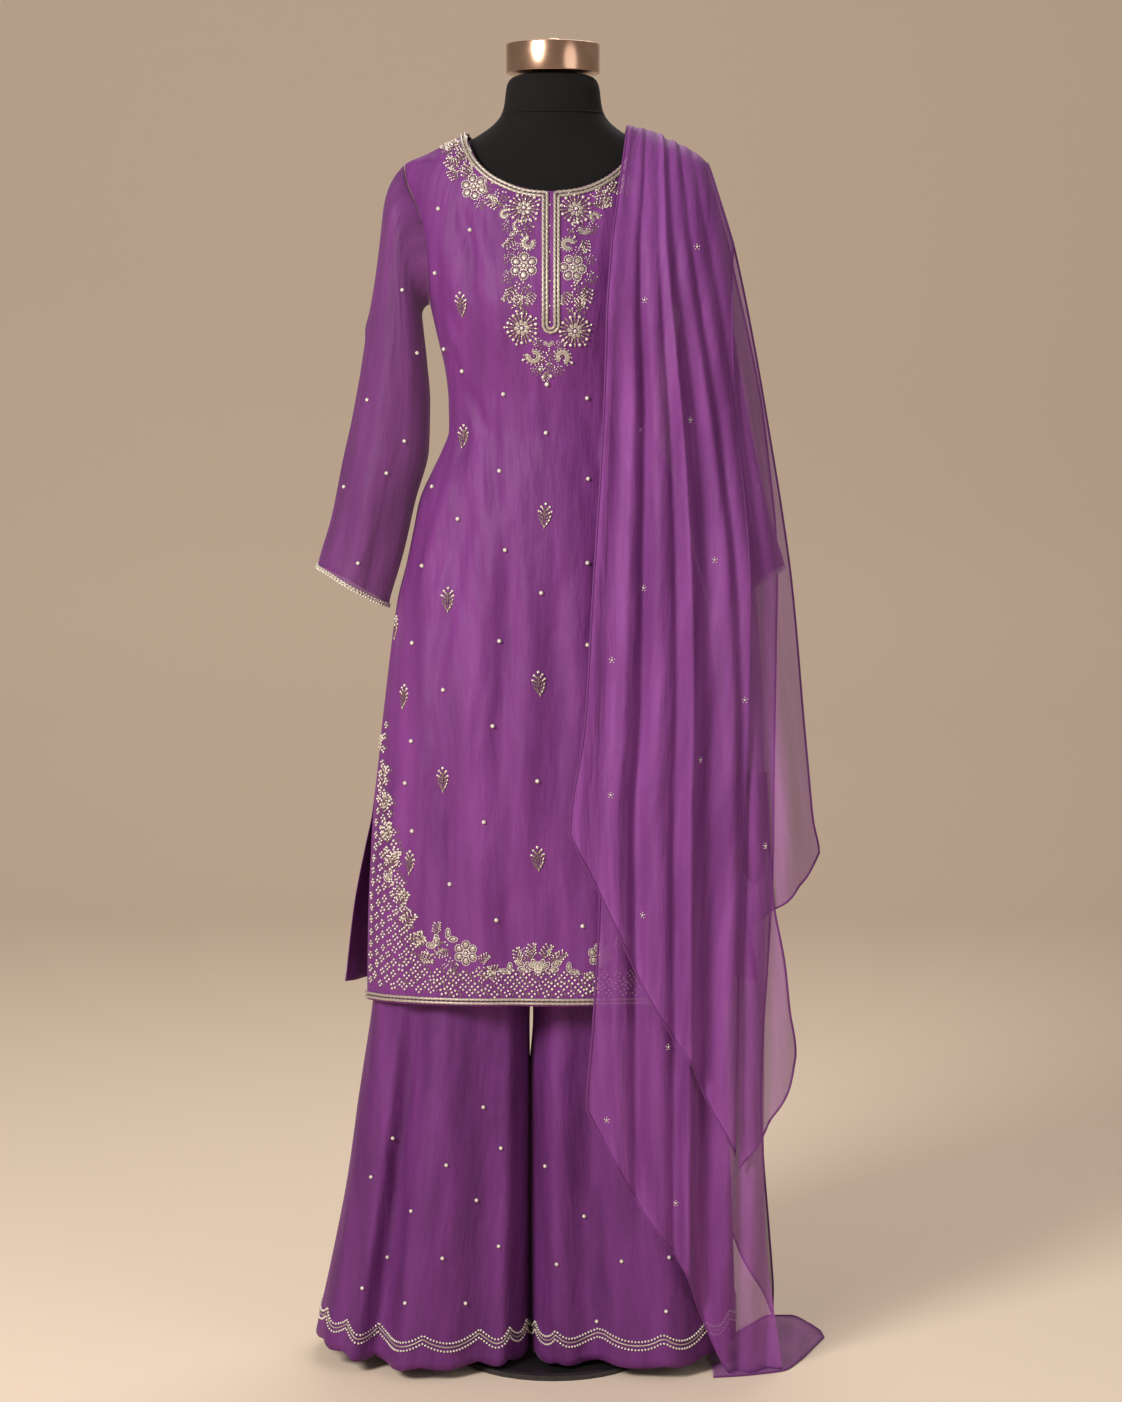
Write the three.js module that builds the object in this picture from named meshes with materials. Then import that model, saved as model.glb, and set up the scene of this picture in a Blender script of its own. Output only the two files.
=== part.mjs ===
// Palazzo suit on a limbless dress form: a long tunic, wide trousers and a sheer scarf.
// Millimetres, +Z up. The front faces -Y and the wearer's left is +X.
// The origin is the middle of the underside of the form's base.
import * as THREE from 'three';

// Driving dimensions

const TUNIC_WALL = 1.6;
const SLEEVE_WALL = 1.1;
const TROUSER_WALL = 1.6;
const SCARF_WALL = 1.0;
const TRIM_WALL = 2.2;
const TRIM_LIFT = 1;
const PLEAT_EASE = 90;
const SEAM = 0.3;
const ROUND = 2;

const ARMHOLE_FOOT = 1225;
const SHOULDER_TIP = 1382;
const NECK_POINT = 1418;
const NECK_HALF_WIDTH = 93;
const FRONT_NECK_DROP = 70;
const BACK_NECK_DROP = 18;
const ARMHOLE_HOLLOW = 13;
const TUNIC_LEAN = -2;
const TUNIC_HEM = 428;
const SLIT_TOP = 643;
const HEM_BAND = 11;
const PLACKET_FOOT = 1189;

const WAIST_SEAM = 1035;
const RISE_TOP = 830;
const CROTCH = 735;
const TROUSER_HEM = 12;
const BAND_TOP = 1062;

const SCARF_BREAK = 1290;
const SCARF_ROUND = 2.4;

const TORSO_FOOT = 835;
const POLE_RADIUS = 12;
const BASE_RADIUS = 114;
const BASE_THICK = 8;

// Tables: a row for each section, from the top down

// The bare form: half width, and how far its front and back stand from the middle
const FORM = [
  { z: 1484, half: 52.5, front: 48, back: 48 },
  { z: 1438, half: 57, front: 49, back: 50 },
  { z: 1424, half: 71, front: 48, back: 50 },
  { z: 1410, half: 94, front: 47, back: 50 },
  { z: 1395, half: 124, front: 50, back: 56 },
  { z: 1380, half: 152, front: 55, back: 64 },
  { z: 1365, half: 157, front: 62, back: 71 },
  { z: 1340, half: 154, front: 72, back: 79 },
  { z: 1300, half: 146, front: 87, back: 84 },
  { z: 1260, half: 137, front: 100, back: 84 },
  { z: 1215, half: 127, front: 105, back: 81 },
  { z: 1175, half: 119, front: 95, back: 77 },
  { z: 1130, half: 111, front: 83, back: 73 },
  { z: 1085, half: 109, front: 79, back: 71 },
  { z: 1040, half: 120, front: 83, back: 78 },
  { z: 990, half: 141, front: 91, back: 93 },
  { z: 930, half: 157, front: 96, back: 107 },
  { z: 880, half: 159, front: 95, back: 110 },
  { z: 850, half: 155, front: 92, back: 106 },
  { z: 835, half: 146, front: 86, back: 100 },
];

// The tunic over it
const TUNIC = [
  { z: 1440, half: 62, front: 53, back: 57 },
  { z: 1418, half: 95, front: 55, back: 60 },
  { z: 1410, half: 110, front: 56, back: 62 },
  { z: 1395, half: 140, front: 59, back: 67 },
  { z: 1382, half: 166, front: 64, back: 73 },
  { z: 1365, half: 168, front: 72, back: 81 },
  { z: 1340, half: 163, front: 83, back: 89 },
  { z: 1300, half: 154.5, front: 97, back: 95 },
  { z: 1260, half: 146, front: 110, back: 95 },
  { z: 1225, half: 138, front: 114.5, back: 92 },
  { z: 1190, half: 130, front: 109, back: 88 },
  { z: 1150, half: 121, front: 98, back: 83 },
  { z: 1117, half: 117.5, front: 91, back: 80 },
  { z: 1083, half: 117, front: 89, back: 80 },
  { z: 1060, half: 125, front: 92, back: 85 },
  { z: 1037, half: 136, front: 96, back: 92 },
  { z: 1003, half: 151, front: 101, back: 103 },
  { z: 970, half: 158, front: 105, back: 113 },
  { z: 934, half: 165.5, front: 108, back: 121 },
  { z: 888, half: 177, front: 111, back: 125 },
  { z: 830, half: 185, front: 114, back: 124 },
  { z: 772, half: 192, front: 118, back: 122 },
  { z: 714, half: 198.5, front: 121, back: 121 },
  { z: 655, half: 204.5, front: 123, back: 120 },
  { z: 597, half: 209, front: 125, back: 120 },
  { z: 540, half: 212, front: 126, back: 120 },
  { z: 483, half: 214, front: 127, back: 120 },
  { z: 428, half: 216, front: 128, back: 120 },
];

// Below the slits the back panel hangs wider than the front one
const TUNIC_BACK_FLARE = [
  { z: 700, extra: 0 },
  { z: 643, extra: 2 },
  { z: 600, extra: 8 },
  { z: 530, extra: 20 },
  { z: 428, extra: 36 },
];

// The soft lengthwise folds of the tunic: where across it, how wide and deep, and where each starts
const TUNIC_FOLDS = [
  { at: -0.66, width: 0.09, depth: -4, top: 960, ease: 260 },
  { at: -0.42, width: 0.08, depth: 3.5, top: 1010, ease: 300 },
  { at: -0.22, width: 0.07, depth: -3, top: 900, ease: 240 },
  { at: 0.05, width: 0.09, depth: 3, top: 860, ease: 260 },
  { at: 0.34, width: 0.08, depth: -3.5, top: 960, ease: 280 },
  { at: 0.62, width: 0.1, depth: 3.5, top: 930, ease: 260 },
];

// A sleeve: its outer and inner edges as seen from the front, and its half depth
const SLEEVE = [
  { row: 0, outX: 168, outZ: 1382, inX: 140, inZ: 1226, depth: 42 },
  { row: 1, outX: 180, outZ: 1368, inX: 146, inZ: 1221, depth: 44 },
  { row: 2, outX: 190, outZ: 1338, inX: 147, inZ: 1211, depth: 47 },
  { row: 3, outX: 196, outZ: 1288, inX: 145, inZ: 1190, depth: 49 },
  { row: 4, outX: 204, outZ: 1230, inX: 142, inZ: 1160, depth: 50 },
  { row: 5, outX: 213, outZ: 1165, inX: 139.5, inZ: 1115, depth: 50 },
  { row: 6, outX: 225, outZ: 1100, inX: 141, inZ: 1062, depth: 50 },
  { row: 7, outX: 239, outZ: 1036, inX: 157, inZ: 1000, depth: 50 },
  { row: 8, outX: 254, outZ: 975, inX: 172, inZ: 935, depth: 49 },
  { row: 9, outX: 265, outZ: 938, inX: 184.5, inZ: 893, depth: 48 },
  { row: 10, outX: 268, outZ: 926, inX: 187.5, inZ: 880, depth: 48 },
];

// The trousers over the hips
const HIPS = [
  { z: 1035, half: 127, front: 88, back: 84 },
  { z: 990, half: 147, front: 97, back: 99 },
  { z: 930, half: 162.5, front: 102, back: 113 },
  { z: 880, half: 165.5, front: 102, back: 116.5 },
  { z: 835, half: 166, front: 99, back: 113 },
  { z: 735, half: 172, front: 92, back: 104 },
];
const WAISTBAND = [
  { z: 1062, half: 120, front: 84.5, back: 78.5 },
  { z: 1035, half: 127, front: 88, back: 84 },
];

// The wearer's right leg and left leg: the outer and inner edge, front and back
const RIGHT_LEG = [
  { z: 735, outer: -179, inner: -25, front: 88, back: 98 },
  { z: 600, outer: -193, inner: -26, front: 84, back: 88 },
  { z: 500, outer: -202, inner: -26, front: 85, back: 86 },
  { z: 414, outer: -211, inner: -27, front: 91, back: 91 },
  { z: 301, outer: -228, inner: -29, front: 100, back: 102 },
  { z: 217, outer: -240, inner: -31, front: 106, back: 110 },
  { z: 145, outer: -253, inner: -33, front: 110, back: 116 },
  { z: 85, outer: -264, inner: -35, front: 111, back: 118 },
  { z: 12, outer: -278, inner: -37, front: 113, back: 121 },
];
const LEFT_LEG = [
  { z: 735, outer: 176, inner: -22, front: 88, back: 98 },
  { z: 600, outer: 186, inner: -22.5, front: 84, back: 88 },
  { z: 500, outer: 193, inner: -23, front: 85, back: 86 },
  { z: 414, outer: 199, inner: -23.5, front: 91, back: 91 },
  { z: 301, outer: 204, inner: -24, front: 100, back: 102 },
  { z: 217, outer: 208, inner: -24, front: 106, back: 110 },
  { z: 145, outer: 211, inner: -24, front: 110, back: 116 },
  { z: 85, outer: 213, inner: -24, front: 111, back: 118 },
  { z: 12, outer: 216, inner: -24, front: 113, back: 121 },
];

// The broad folds round each leg: the place is a share of the way round from the outer seam
const LEG_FOLDS = [
  { at: 0.12, width: 0.045, depth: -14 },
  { at: 0.22, width: 0.05, depth: 7 },
  { at: 0.34, width: 0.05, depth: -9 },
  { at: 0.43, width: 0.04, depth: 5 },
  { at: 0.59, width: 0.05, depth: 7 },
  { at: 0.69, width: 0.05, depth: -11 },
  { at: 0.79, width: 0.05, depth: 6 },
  { at: 0.89, width: 0.045, depth: -9 },
];
const LEG_FOLD_TOP = 640;

// The scarf as it hangs: the room it takes round the figure, and its outline from the front
const DRAPE = [
  { z: 1424, half: 80, front: 60, back: 63 },
  { z: 1423, half: 100, front: 61, back: 64 },
  { z: 1419.5, half: 114, front: 63, back: 67 },
  { z: 1408, half: 138, front: 67, back: 72 },
  { z: 1398, half: 158, front: 70, back: 77 },
  { z: 1382, half: 177, front: 77, back: 86 },
  { z: 1345, half: 195, front: 98, back: 102 },
  { z: 1290, half: 211, front: 123, back: 111 },
  { z: 1219, half: 226, front: 136, back: 110 },
  { z: 1151, half: 239, front: 132, back: 103 },
  { z: 1071, half: 252, front: 128, back: 104 },
  { z: 1003, half: 264, front: 134, back: 122 },
  { z: 899, half: 279, front: 142, back: 142 },
  { z: 795, half: 290, front: 146, back: 142 },
  { z: 597, half: 312, front: 152, back: 140 },
  { z: 428, half: 312, front: 156, back: 140 },
  { z: 200, half: 312, front: 154, back: 146 },
  { z: 60, half: 312, front: 132, back: 150 },
  { z: 0, half: 330, front: 120, back: 152 },
];
const FALL = [
  { z: 1290, left: 65, right: 203, drift: 0.2, swing: 2.2 },
  { z: 1219, left: 60, right: 219, drift: 0.19, swing: 3 },
  { z: 1094, left: 56, right: 243, drift: 0.17, swing: 4.5 },
  { z: 1003, left: 50, right: 258.5, drift: 0.12, swing: 5.5 },
  { z: 899, left: 44, right: 273, drift: 0.08, swing: 6.5 },
  { z: 772, left: 37, right: 284, drift: 0.043, swing: 7.5 },
  { z: 655, left: 24, right: 294, drift: 0.01, swing: 8 },
  { z: 543, left: 22, right: 296, drift: 0, swing: 8 },
  { z: 200, left: 22, right: 296, drift: 0, swing: 8 },
  { z: 0, left: 22, right: 296, drift: 0, swing: 6 },
];
const SCARF_PLEATS = 5.5;

// Each stretch of the scarf: its left and right edges, and below them its hem, left to right
const UPPER_FALL = {
  edges: [
    { z: 1290, left: 65, right: 176 },
    { z: 1219, left: 60, right: 186 },
    { z: 1094, left: 56, right: 204 },
    { z: 899, left: 44, right: 216 },
    { z: 762, left: 36, right: 216 },
    { z: 636, left: 19, right: 212 },
    { z: 260, left: 19, right: 205 },
  ],
  hem: [
    { across: 0, z: 636 },
    { across: 0.18, z: 567 },
    { across: 0.5, z: 440 },
    { across: 0.73, z: 372 },
    { across: 1, z: 268 },
  ],
};
const LOWER_FALL = {
  edges: [
    { z: 1289, left: 70, right: 165 },
    { z: 1003, left: 60, right: 215 },
    { z: 760, left: 55, right: 236 },
    { z: 567, left: 53, right: 238 },
    { z: 413, left: 45, right: 237 },
    { z: 322, left: 38, right: 237 },
    { z: 200, left: 38, right: 240 },
    { z: 1, left: 38, right: 262 },
  ],
  hem: [
    { across: 0, z: 322 },
    { across: 0.3, z: 207 },
    { across: 0.53, z: 132 },
    { across: 0.62, z: 66 },
    { across: 0.74, z: 1.8 },
    { across: 1, z: 1.8 },
  ],
};
const SIDE_FALL = {
  edges: [
    { z: 1290, left: 177, right: 203 },
    { z: 1255, left: 183, right: 211 },
    { z: 1219, left: 182, right: 219 },
    { z: 1094, left: 172, right: 243 },
    { z: 1003, left: 182, right: 258.5 },
    { z: 899, left: 190, right: 273 },
    { z: 714, left: 196, right: 289.5 },
    { z: 640, left: 198, right: 297 },
    { z: 597, left: 200, right: 306 },
    { z: 520, left: 202, right: 306 },
  ],
  hem: [
    { across: 0, z: 530 },
    { across: 0.5, z: 548 },
    { across: 0.8, z: 572 },
    { across: 1, z: 598 },
  ],
};
const CASCADE = {
  edges: [
    { z: 560, left: 204, right: 250 },
    { z: 480, left: 206, right: 262 },
    { z: 425, left: 208, right: 268 },
    { z: 375, left: 210, right: 277 },
    { z: 280, left: 212, right: 277 },
  ],
  hem: [
    { across: 0, z: 250 },
    { across: 0.5, z: 294 },
    { across: 0.85, z: 335 },
    { across: 1, z: 372 },
  ],
};
const BACK_FALL = {
  edges: [
    { z: 1290, left: 65, right: 203 },
    { z: 1094, left: 40, right: 243 },
    { z: 899, left: 20, right: 262 },
    { z: 597, left: 0, right: 262 },
    { z: 283, left: -10, right: 250 },
    { z: 49, left: -10, right: 266 },
  ],
  hem: [
    { across: 0, z: 560 },
    { across: 0.3, z: 400 },
    { across: 0.6, z: 230 },
    { across: 1, z: 40 },
  ],
};

// The tail on the floor: its near and far edges, from where the fall lands to the tip
const TAIL = [
  { x: 184, near: -102, far: 10 },
  { x: 214, near: -97, far: 52 },
  { x: 240, near: -89, far: 96 },
  { x: 266, near: -78, far: 132 },
  { x: 290, near: -36, far: 132 },
  { x: 310, near: 14, far: 100 },
  { x: 323, near: 46, far: 66 },
];

// Shared working

const DOWN = -1;
const TINY_STEP = 1e-3;
const whole = 2 * Math.PI;
const quarter = Math.PI / 2;
const blendIn = (share) => {
  const held = Math.min(1, Math.max(0, share));
  return held * held * (3 - 2 * held);
};
const oval = () => ROUND;
const between = (low, high, share) => low + (high - low) * share;
const steps = (from, to, count) =>
  Array.from({ length: count + 1 }, (_, step) => between(from, to, step / count));

// Reads a named column of a table anywhere along it, by a smooth curve that never overshoots
function column(table, place, name) {
  const rows = [...table].sort((one, other) => one[place] - other[place]);
  const last = rows.length - 1;
  const at = rows.map((row) => row[place]);
  const value = rows.map((row) => row[name]);
  const rise = at.slice(1).map((_, i) => (value[i + 1] - value[i]) / (at[i + 1] - at[i]));
  const slope = at.map((_, i) => {
    const before = rise[Math.max(0, i - 1)];
    const after = rise[Math.min(last - 1, i)];
    return before * after > 0 ? (2 * before * after) / (before + after) : 0;
  });
  return (where) => {
    const held = Math.min(at[last], Math.max(at[0], where));
    const i = Math.min(last - 1, Math.max(0, at.findIndex((edge) => edge > held) - 1));
    const span = held >= at[last] ? last - 1 : i;
    const width = at[span + 1] - at[span];
    const t = (held - at[span]) / width;
    const near = value[span] * (1 + 2 * t) * (1 - t) ** 2 + width * slope[span] * t * (1 - t) ** 2;
    const far = value[span + 1] * t * t * (3 - 2 * t) - width * slope[span + 1] * t * t * (1 - t);
    return near + far;
  };
}

// A stack of rounded sections. Angles run anticlockwise from +X, seen from above
function sections(table, power, lean = 0) {
  const half = column(table, 'z', 'half');
  const front = column(table, 'z', 'front');
  const back = column(table, 'z', 'back');
  const round = (part, z) => Math.sign(part) * Math.abs(part) ** (2 / power(z));
  const depth = (side, z) => (side < 0 ? front(z) : back(z));
  return {
    half,
    at(angle, z, extra = 0) {
      const x = (half(z) + extra) * round(Math.cos(angle), z);
      const y = depth(Math.sin(angle), z) * round(Math.sin(angle), z);
      return new THREE.Vector3(lean + x, y, z);
    },
    face(x, z, side, inset = 0) {
      const share = Math.min(1, Math.abs(x - lean) / half(z));
      const y = (depth(side, z) - inset) * (1 - share ** power(z)) ** (1 / power(z));
      return new THREE.Vector3(x, side * y, z);
    },
  };
}

// The outward direction of a surface, where u runs anticlockwise and v runs down
function outward(surface, u, v, rows) {
  const top = Math.max(rows[0], v - TINY_STEP);
  const foot = Math.min(rows[rows.length - 1], v + TINY_STEP);
  const down = surface(u, foot).sub(surface(u, top));
  const along = surface(u + TINY_STEP, v).sub(surface(u - TINY_STEP, v));
  return down.cross(along).normalize();
}

// The points of a surface, moved out by a distance
function grid(surface, columns, rows, distance = 0) {
  return rows.map((v) =>
    columns.map((u) => surface(u, v).addScaledVector(outward(surface, u, v, rows), distance)),
  );
}

// A cloth wall between an outer grid of points and an inner one, closed round its rims
function wall(outer, inner, isTube = false) {
  const tall = outer.length;
  const wide = outer[0].length;
  const points = [...outer.flat(), ...inner.flat()].flatMap((point) => point.toArray());
  const out = (i, j) => i * wide + (j % wide);
  const into = (i, j) => tall * wide + out(i, j);
  const faces = [];
  const quad = (a, b, c, d) => faces.push(a, b, c, a, c, d);
  const spans = isTube ? wide : wide - 1;
  for (let j = 0; j < spans; j += 1) {
    for (let i = 0; i < tall - 1; i += 1) {
      quad(out(i, j), out(i + 1, j), out(i + 1, j + 1), out(i, j + 1));
      quad(into(i, j), into(i, j + 1), into(i + 1, j + 1), into(i + 1, j));
    }
    quad(out(0, j), out(0, j + 1), into(0, j + 1), into(0, j));
    quad(out(tall - 1, j + 1), out(tall - 1, j), into(tall - 1, j), into(tall - 1, j + 1));
  }
  for (let i = 0; i < tall - 1 && !isTube; i += 1) {
    quad(out(i, 0), into(i, 0), into(i + 1, 0), out(i + 1, 0));
    quad(into(i, spans), out(i, spans), out(i + 1, spans), into(i + 1, spans));
  }
  const geometry = new THREE.BufferGeometry();
  geometry.setAttribute('position', new THREE.Float32BufferAttribute(points, 3));
  geometry.setIndex(faces);
  return geometry;
}

const cloth = (surface, columns, rows, thickness, isTube = false) =>
  wall(grid(surface, columns, rows), grid(surface, columns, rows, -thickness), isTube);

// A band that lies on a surface, made from the same columns and some of its rows, moved out
const trim = (surface, columns, rows, allRows) => {
  const lift = (distance) =>
    rows.map((v) =>
      columns.map((u) => surface(u, v).addScaledVector(outward(surface, u, v, allRows), distance)),
    );
  return wall(lift(TRIM_LIFT + TRIM_WALL), lift(TRIM_LIFT));
};

const suit = new THREE.Group();

function add(name, geometry, colour, roughness, metalness = 0) {
  const material = new THREE.MeshStandardMaterial({ color: colour, roughness, metalness });
  const mesh = new THREE.Mesh(geometry, material);
  mesh.name = name;
  suit.add(mesh);
}

const PURPLE_SILK = '#8a4687';
const TROUSER_SILK = '#753b72';
const SHEER_PURPLE = '#9b5b98';
const SILVER_CORD = '#cbb9a8';
const BLACK_JERSEY = '#242021';
const ROSE_METAL = '#b98a72';
const BLACK_STEEL = '#1f1d1e';

// Dress form: a smooth torso that ends at the hips, a metal neck cap, a pole and a round base

function formTorso() {
  const form = sections(FORM, oval);
  const levels = [1484, 1460, 1438, 1424, 1410, 1395, 1381, 1365, 1338, 1300, 1255, 1215, 1172]
    .concat([1130, 1085, 1040, 990, 930, 880, 850, TORSO_FOOT]);
  const around = steps(0, whole, 24).slice(0, -1);
  const rings = levels.map((z) => around.map((angle) => form.at(angle, z)));
  const wide = around.length;
  const top = new THREE.Vector3(0, 0, levels[0]);
  const foot = new THREE.Vector3(0, 0, TORSO_FOOT);
  const points = [...rings.flat(), top, foot].flatMap((point) => point.toArray());
  const at = (i, j) => i * wide + (j % wide);
  const faces = [];
  for (let j = 0; j < wide; j += 1) {
    for (let i = 0; i < rings.length - 1; i += 1) {
      faces.push(at(i, j), at(i + 1, j), at(i + 1, j + 1));
      faces.push(at(i, j), at(i + 1, j + 1), at(i, j + 1));
    }
    faces.push(rings.length * wide, at(0, j), at(0, j + 1));
    faces.push(rings.length * wide + 1, at(rings.length - 1, j + 1), at(rings.length - 1, j));
  }
  const geometry = new THREE.BufferGeometry();
  geometry.setAttribute('position', new THREE.Float32BufferAttribute(points, 3));
  geometry.setIndex(faces);
  return geometry;
}

// A turned piece: its profile is a list of radius and height, from the axis back to the axis
function turned(profile, sides) {
  const points = profile.map(([radius, height]) => new THREE.Vector2(radius, height));
  return new THREE.LatheGeometry(points, sides).rotateX(quarter);
}

const CAP_FOOT = 1484.3;
add('form_torso', formTorso(), BLACK_JERSEY, 0.8);
add(
  'form_neck_cap',
  turned(
    [
      [0, CAP_FOOT],
      [52.2, CAP_FOOT],
      [53, CAP_FOOT + 2],
      [53, CAP_FOOT + 26],
      [50, CAP_FOOT + 31],
      [20, CAP_FOOT + 34],
      [9, CAP_FOOT + 34.5],
      [8, CAP_FOOT + 37],
      [0, CAP_FOOT + 38],
    ],
    28,
  ),
  ROSE_METAL,
  0.25,
  1,
);
add(
  'form_pole',
  turned(
    [
      [0, BASE_THICK + SEAM],
      [20, BASE_THICK + SEAM],
      [20, BASE_THICK + 14],
      [POLE_RADIUS, BASE_THICK + 22],
      [POLE_RADIUS, TORSO_FOOT - SEAM],
      [0, TORSO_FOOT - SEAM],
    ],
    16,
  ),
  BLACK_STEEL,
  0.4,
  0.6,
);
add(
  'form_base',
  turned(
    [
      [0, 0],
      [BASE_RADIUS, 0],
      [BASE_RADIUS, BASE_THICK - 2],
      [BASE_RADIUS - 4, BASE_THICK],
      [0, BASE_THICK],
    ],
    36,
  ),
  BLACK_STEEL,
  0.4,
  0.6,
);

// Tunic. u runs from one side seam to the other, from -1 to 1.
// v runs down: -1 is the neck and shoulder edge, 0 the foot of the armholes and 1 the hem

// The skirt is a little squarer in section than the bodice
const SKIRT_TOP = 1003;
const SKIRT_EASE = 300;
const SQUARER = 0.5;
const skirtRound = (z) => ROUND + SQUARER * blendIn((SKIRT_TOP - z) / SKIRT_EASE);
const tunic = sections(TUNIC, skirtRound, TUNIC_LEAN);
const backFlare = column(TUNIC_BACK_FLARE, 'z', 'extra');
const NECK_SHARE = 5 / 12;
const NECK_SPREAD = 1.25;
const NECK_WIDENING = 2;
const HEM_DIP = 10;
const BACK_HEM_LIFT = 6;
const armholeEdge = (z) => {
  const climb = (z - ARMHOLE_FOOT) / (SHOULDER_TIP - ARMHOLE_FOOT);
  return tunic.half(z) - ARMHOLE_HOLLOW * Math.sin(Math.PI * Math.min(1, Math.max(0, climb)));
};

// How far a panel's edge draws back from the side seam below the slit, as an angle
const SLIT_EASE = 260;
const FRONT_SPREAD = 0.2;
const BACK_SPREAD = 0.3;
const slitSpread = (z, side) =>
  blendIn((SLIT_TOP - z) / SLIT_EASE) * (side < 0 ? FRONT_SPREAD : BACK_SPREAD);

const foldDepth = (u, z) =>
  TUNIC_FOLDS.reduce((sum, fold) => {
    const grown = blendIn((fold.top - z) / fold.ease);
    return sum + fold.depth * grown * Math.exp(-(((u - fold.at) / fold.width) ** 2));
  }, 0);

function tunicSkirt(u, v, side) {
  const middle = side < 0 ? 3 * quarter : quarter;
  const hem = TUNIC_HEM + (side < 0 ? HEM_DIP * (1 - u * u) : BACK_HEM_LIFT);
  const z = between(ARMHOLE_FOOT, hem, v);
  const angle = middle + u * (quarter - slitSpread(z, side));
  const point = tunic.at(angle, z, side > 0 ? backFlare(z) : 0);
  const folds = foldDepth(u, z);
  point.x += folds * Math.cos(angle);
  point.y += folds * Math.sin(angle) + side * (SEAM / 2);
  return point;
}

// The upper chest, up to the round neck and over the shoulders to their seam
function tunicYoke(u, v, side) {
  const away = side < 0 ? u : -u;
  const reach = Math.min(1, Math.abs(u));
  const drop = side < 0 ? FRONT_NECK_DROP : BACK_NECK_DROP;
  const turn = quarter * Math.min(1, reach / NECK_SHARE) ** NECK_SPREAD;
  const along = Math.max(0, (reach - NECK_SHARE) / (1 - NECK_SHARE));
  const isNeck = reach < NECK_SHARE;
  const topZ = isNeck
    ? NECK_POINT - drop * Math.cos(turn)
    : between(NECK_POINT, SHOULDER_TIP, along);
  const topX = isNeck
    ? NECK_HALF_WIDTH * Math.sin(turn) + NECK_WIDENING * (reach / NECK_SHARE)
    : tunic.half(topZ);
  const climb = Math.sin(-v * quarter);
  const z = between(ARMHOLE_FOOT, topZ, climb);
  const footX = tunic.half(ARMHOLE_FOOT) * Math.sin(reach * quarter);
  const edgeZ = between(ARMHOLE_FOOT, SHOULDER_TIP, climb);
  const edgeX = between(tunic.half(ARMHOLE_FOOT), tunic.half(SHOULDER_TIP), climb);
  const hollow = (armholeEdge(edgeZ) - edgeX) * reach ** 4;
  const x = Math.sign(away) * (between(footX, topX, climb) + hollow);
  const point = tunic.face(TUNIC_LEAN + x, z, side);
  point.y += side * (SEAM / 2);
  return point;
}

const tunicFront = (u, v) => (v > 0 ? tunicSkirt(u, v, -1) : tunicYoke(u, v, -1));
const tunicBack = (u, v) => (v > 0 ? tunicSkirt(u, v, 1) : tunicYoke(u, v, 1));

const PLACKET_EDGE = 0.055;
const hemShare = (height) => 1 - height / (ARMHOLE_FOOT - TUNIC_HEM);
const downTo = (z) => (ARMHOLE_FOOT - z) / (ARMHOLE_FOOT - TUNIC_HEM - HEM_DIP);
const sideColumns = [PLACKET_EDGE, 0.15, 0.25, 1 / 3, NECK_SHARE]
  .concat([0.5, 0.58, 0.66, 0.74, 0.83, 0.92, 1]);
const frontColumns = [...sideColumns.map((u) => -u).reverse(), 0, ...sideColumns];
const yokeRows = [-1, -0.9, -0.72, -0.48, -0.24, 0];
const frontRows = yokeRows.concat(
  [PLACKET_FOOT, 1150, 1117, 1083, 1050, 1003, 960, 900, 830, 760, 690, 620, 550, 490].map(downTo),
  [hemShare(HEM_BAND), 1],
);
const backColumns = [-1, -0.88, -0.76, -0.64, -0.52, -NECK_SHARE, -0.28, -0.14, 0]
  .concat([0.14, 0.28, NECK_SHARE, 0.52, 0.64, 0.76, 0.88, 1]);
const backRows = [-1, -0.86, -0.64, -0.42, -0.2, 0].concat(
  [1150, 1100, 1050, 1003, 950, 880, 800, 720, 643, 570, 500].map(downTo),
  [hemShare(HEM_BAND), 1],
);

add('kurta_front', cloth(tunicFront, frontColumns, frontRows, TUNIC_WALL), PURPLE_SILK, 0.55);
add('kurta_back', cloth(tunicBack, backColumns, backRows, TUNIC_WALL), PURPLE_SILK, 0.55);

// The cords are laid on the panels: round the neck, down the placket and along the hems
const NECK_BAND_ROWS = [-1, -0.9];
const isAtNeck = (u) => Math.abs(u) <= NECK_SHARE;
const isPlacket = (u) => Math.abs(u) <= PLACKET_EDGE;
const besidePlacket = (sign) => (u) => isAtNeck(u) && sign * u >= PLACKET_EDGE;
const placketRows = frontRows.filter((v) => v >= -0.9 && v <= downTo(PLACKET_FOOT));
const trimPieces = {
  neck_cord_right: [tunicFront, frontColumns.filter(besidePlacket(-1)), NECK_BAND_ROWS, frontRows],
  neck_cord_left: [tunicFront, frontColumns.filter(besidePlacket(1)), NECK_BAND_ROWS, frontRows],
  neck_cord_back: [tunicBack, backColumns.filter(isAtNeck), [-1, -0.86], backRows],
  placket: [tunicFront, frontColumns.filter(isPlacket), placketRows, frontRows],
  hem_cord_front: [tunicFront, frontColumns, frontRows.slice(-2), frontRows],
  hem_cord_back: [tunicBack, backColumns, backRows.slice(-2), backRows],
};
Object.entries(trimPieces).forEach(([name, piece]) => {
  add(name, trim(...piece), SILVER_CORD, 0.45, 0.3);
});

// Sleeves. Each starts on the armhole's own curve and hangs as a tube with an open cuff

const sleeveRead = ['outX', 'outZ', 'inX', 'inZ', 'depth'].map((name) =>
  column(SLEEVE, 'row', name),
);
const ARMHOLE_FADE = 1.6;
const SLEEVE_FOLDS = 5;
const SLEEVE_CREASE = 0.03;
const CREASE_FROM = 2;
const CREASE_EASE = 4;

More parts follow.
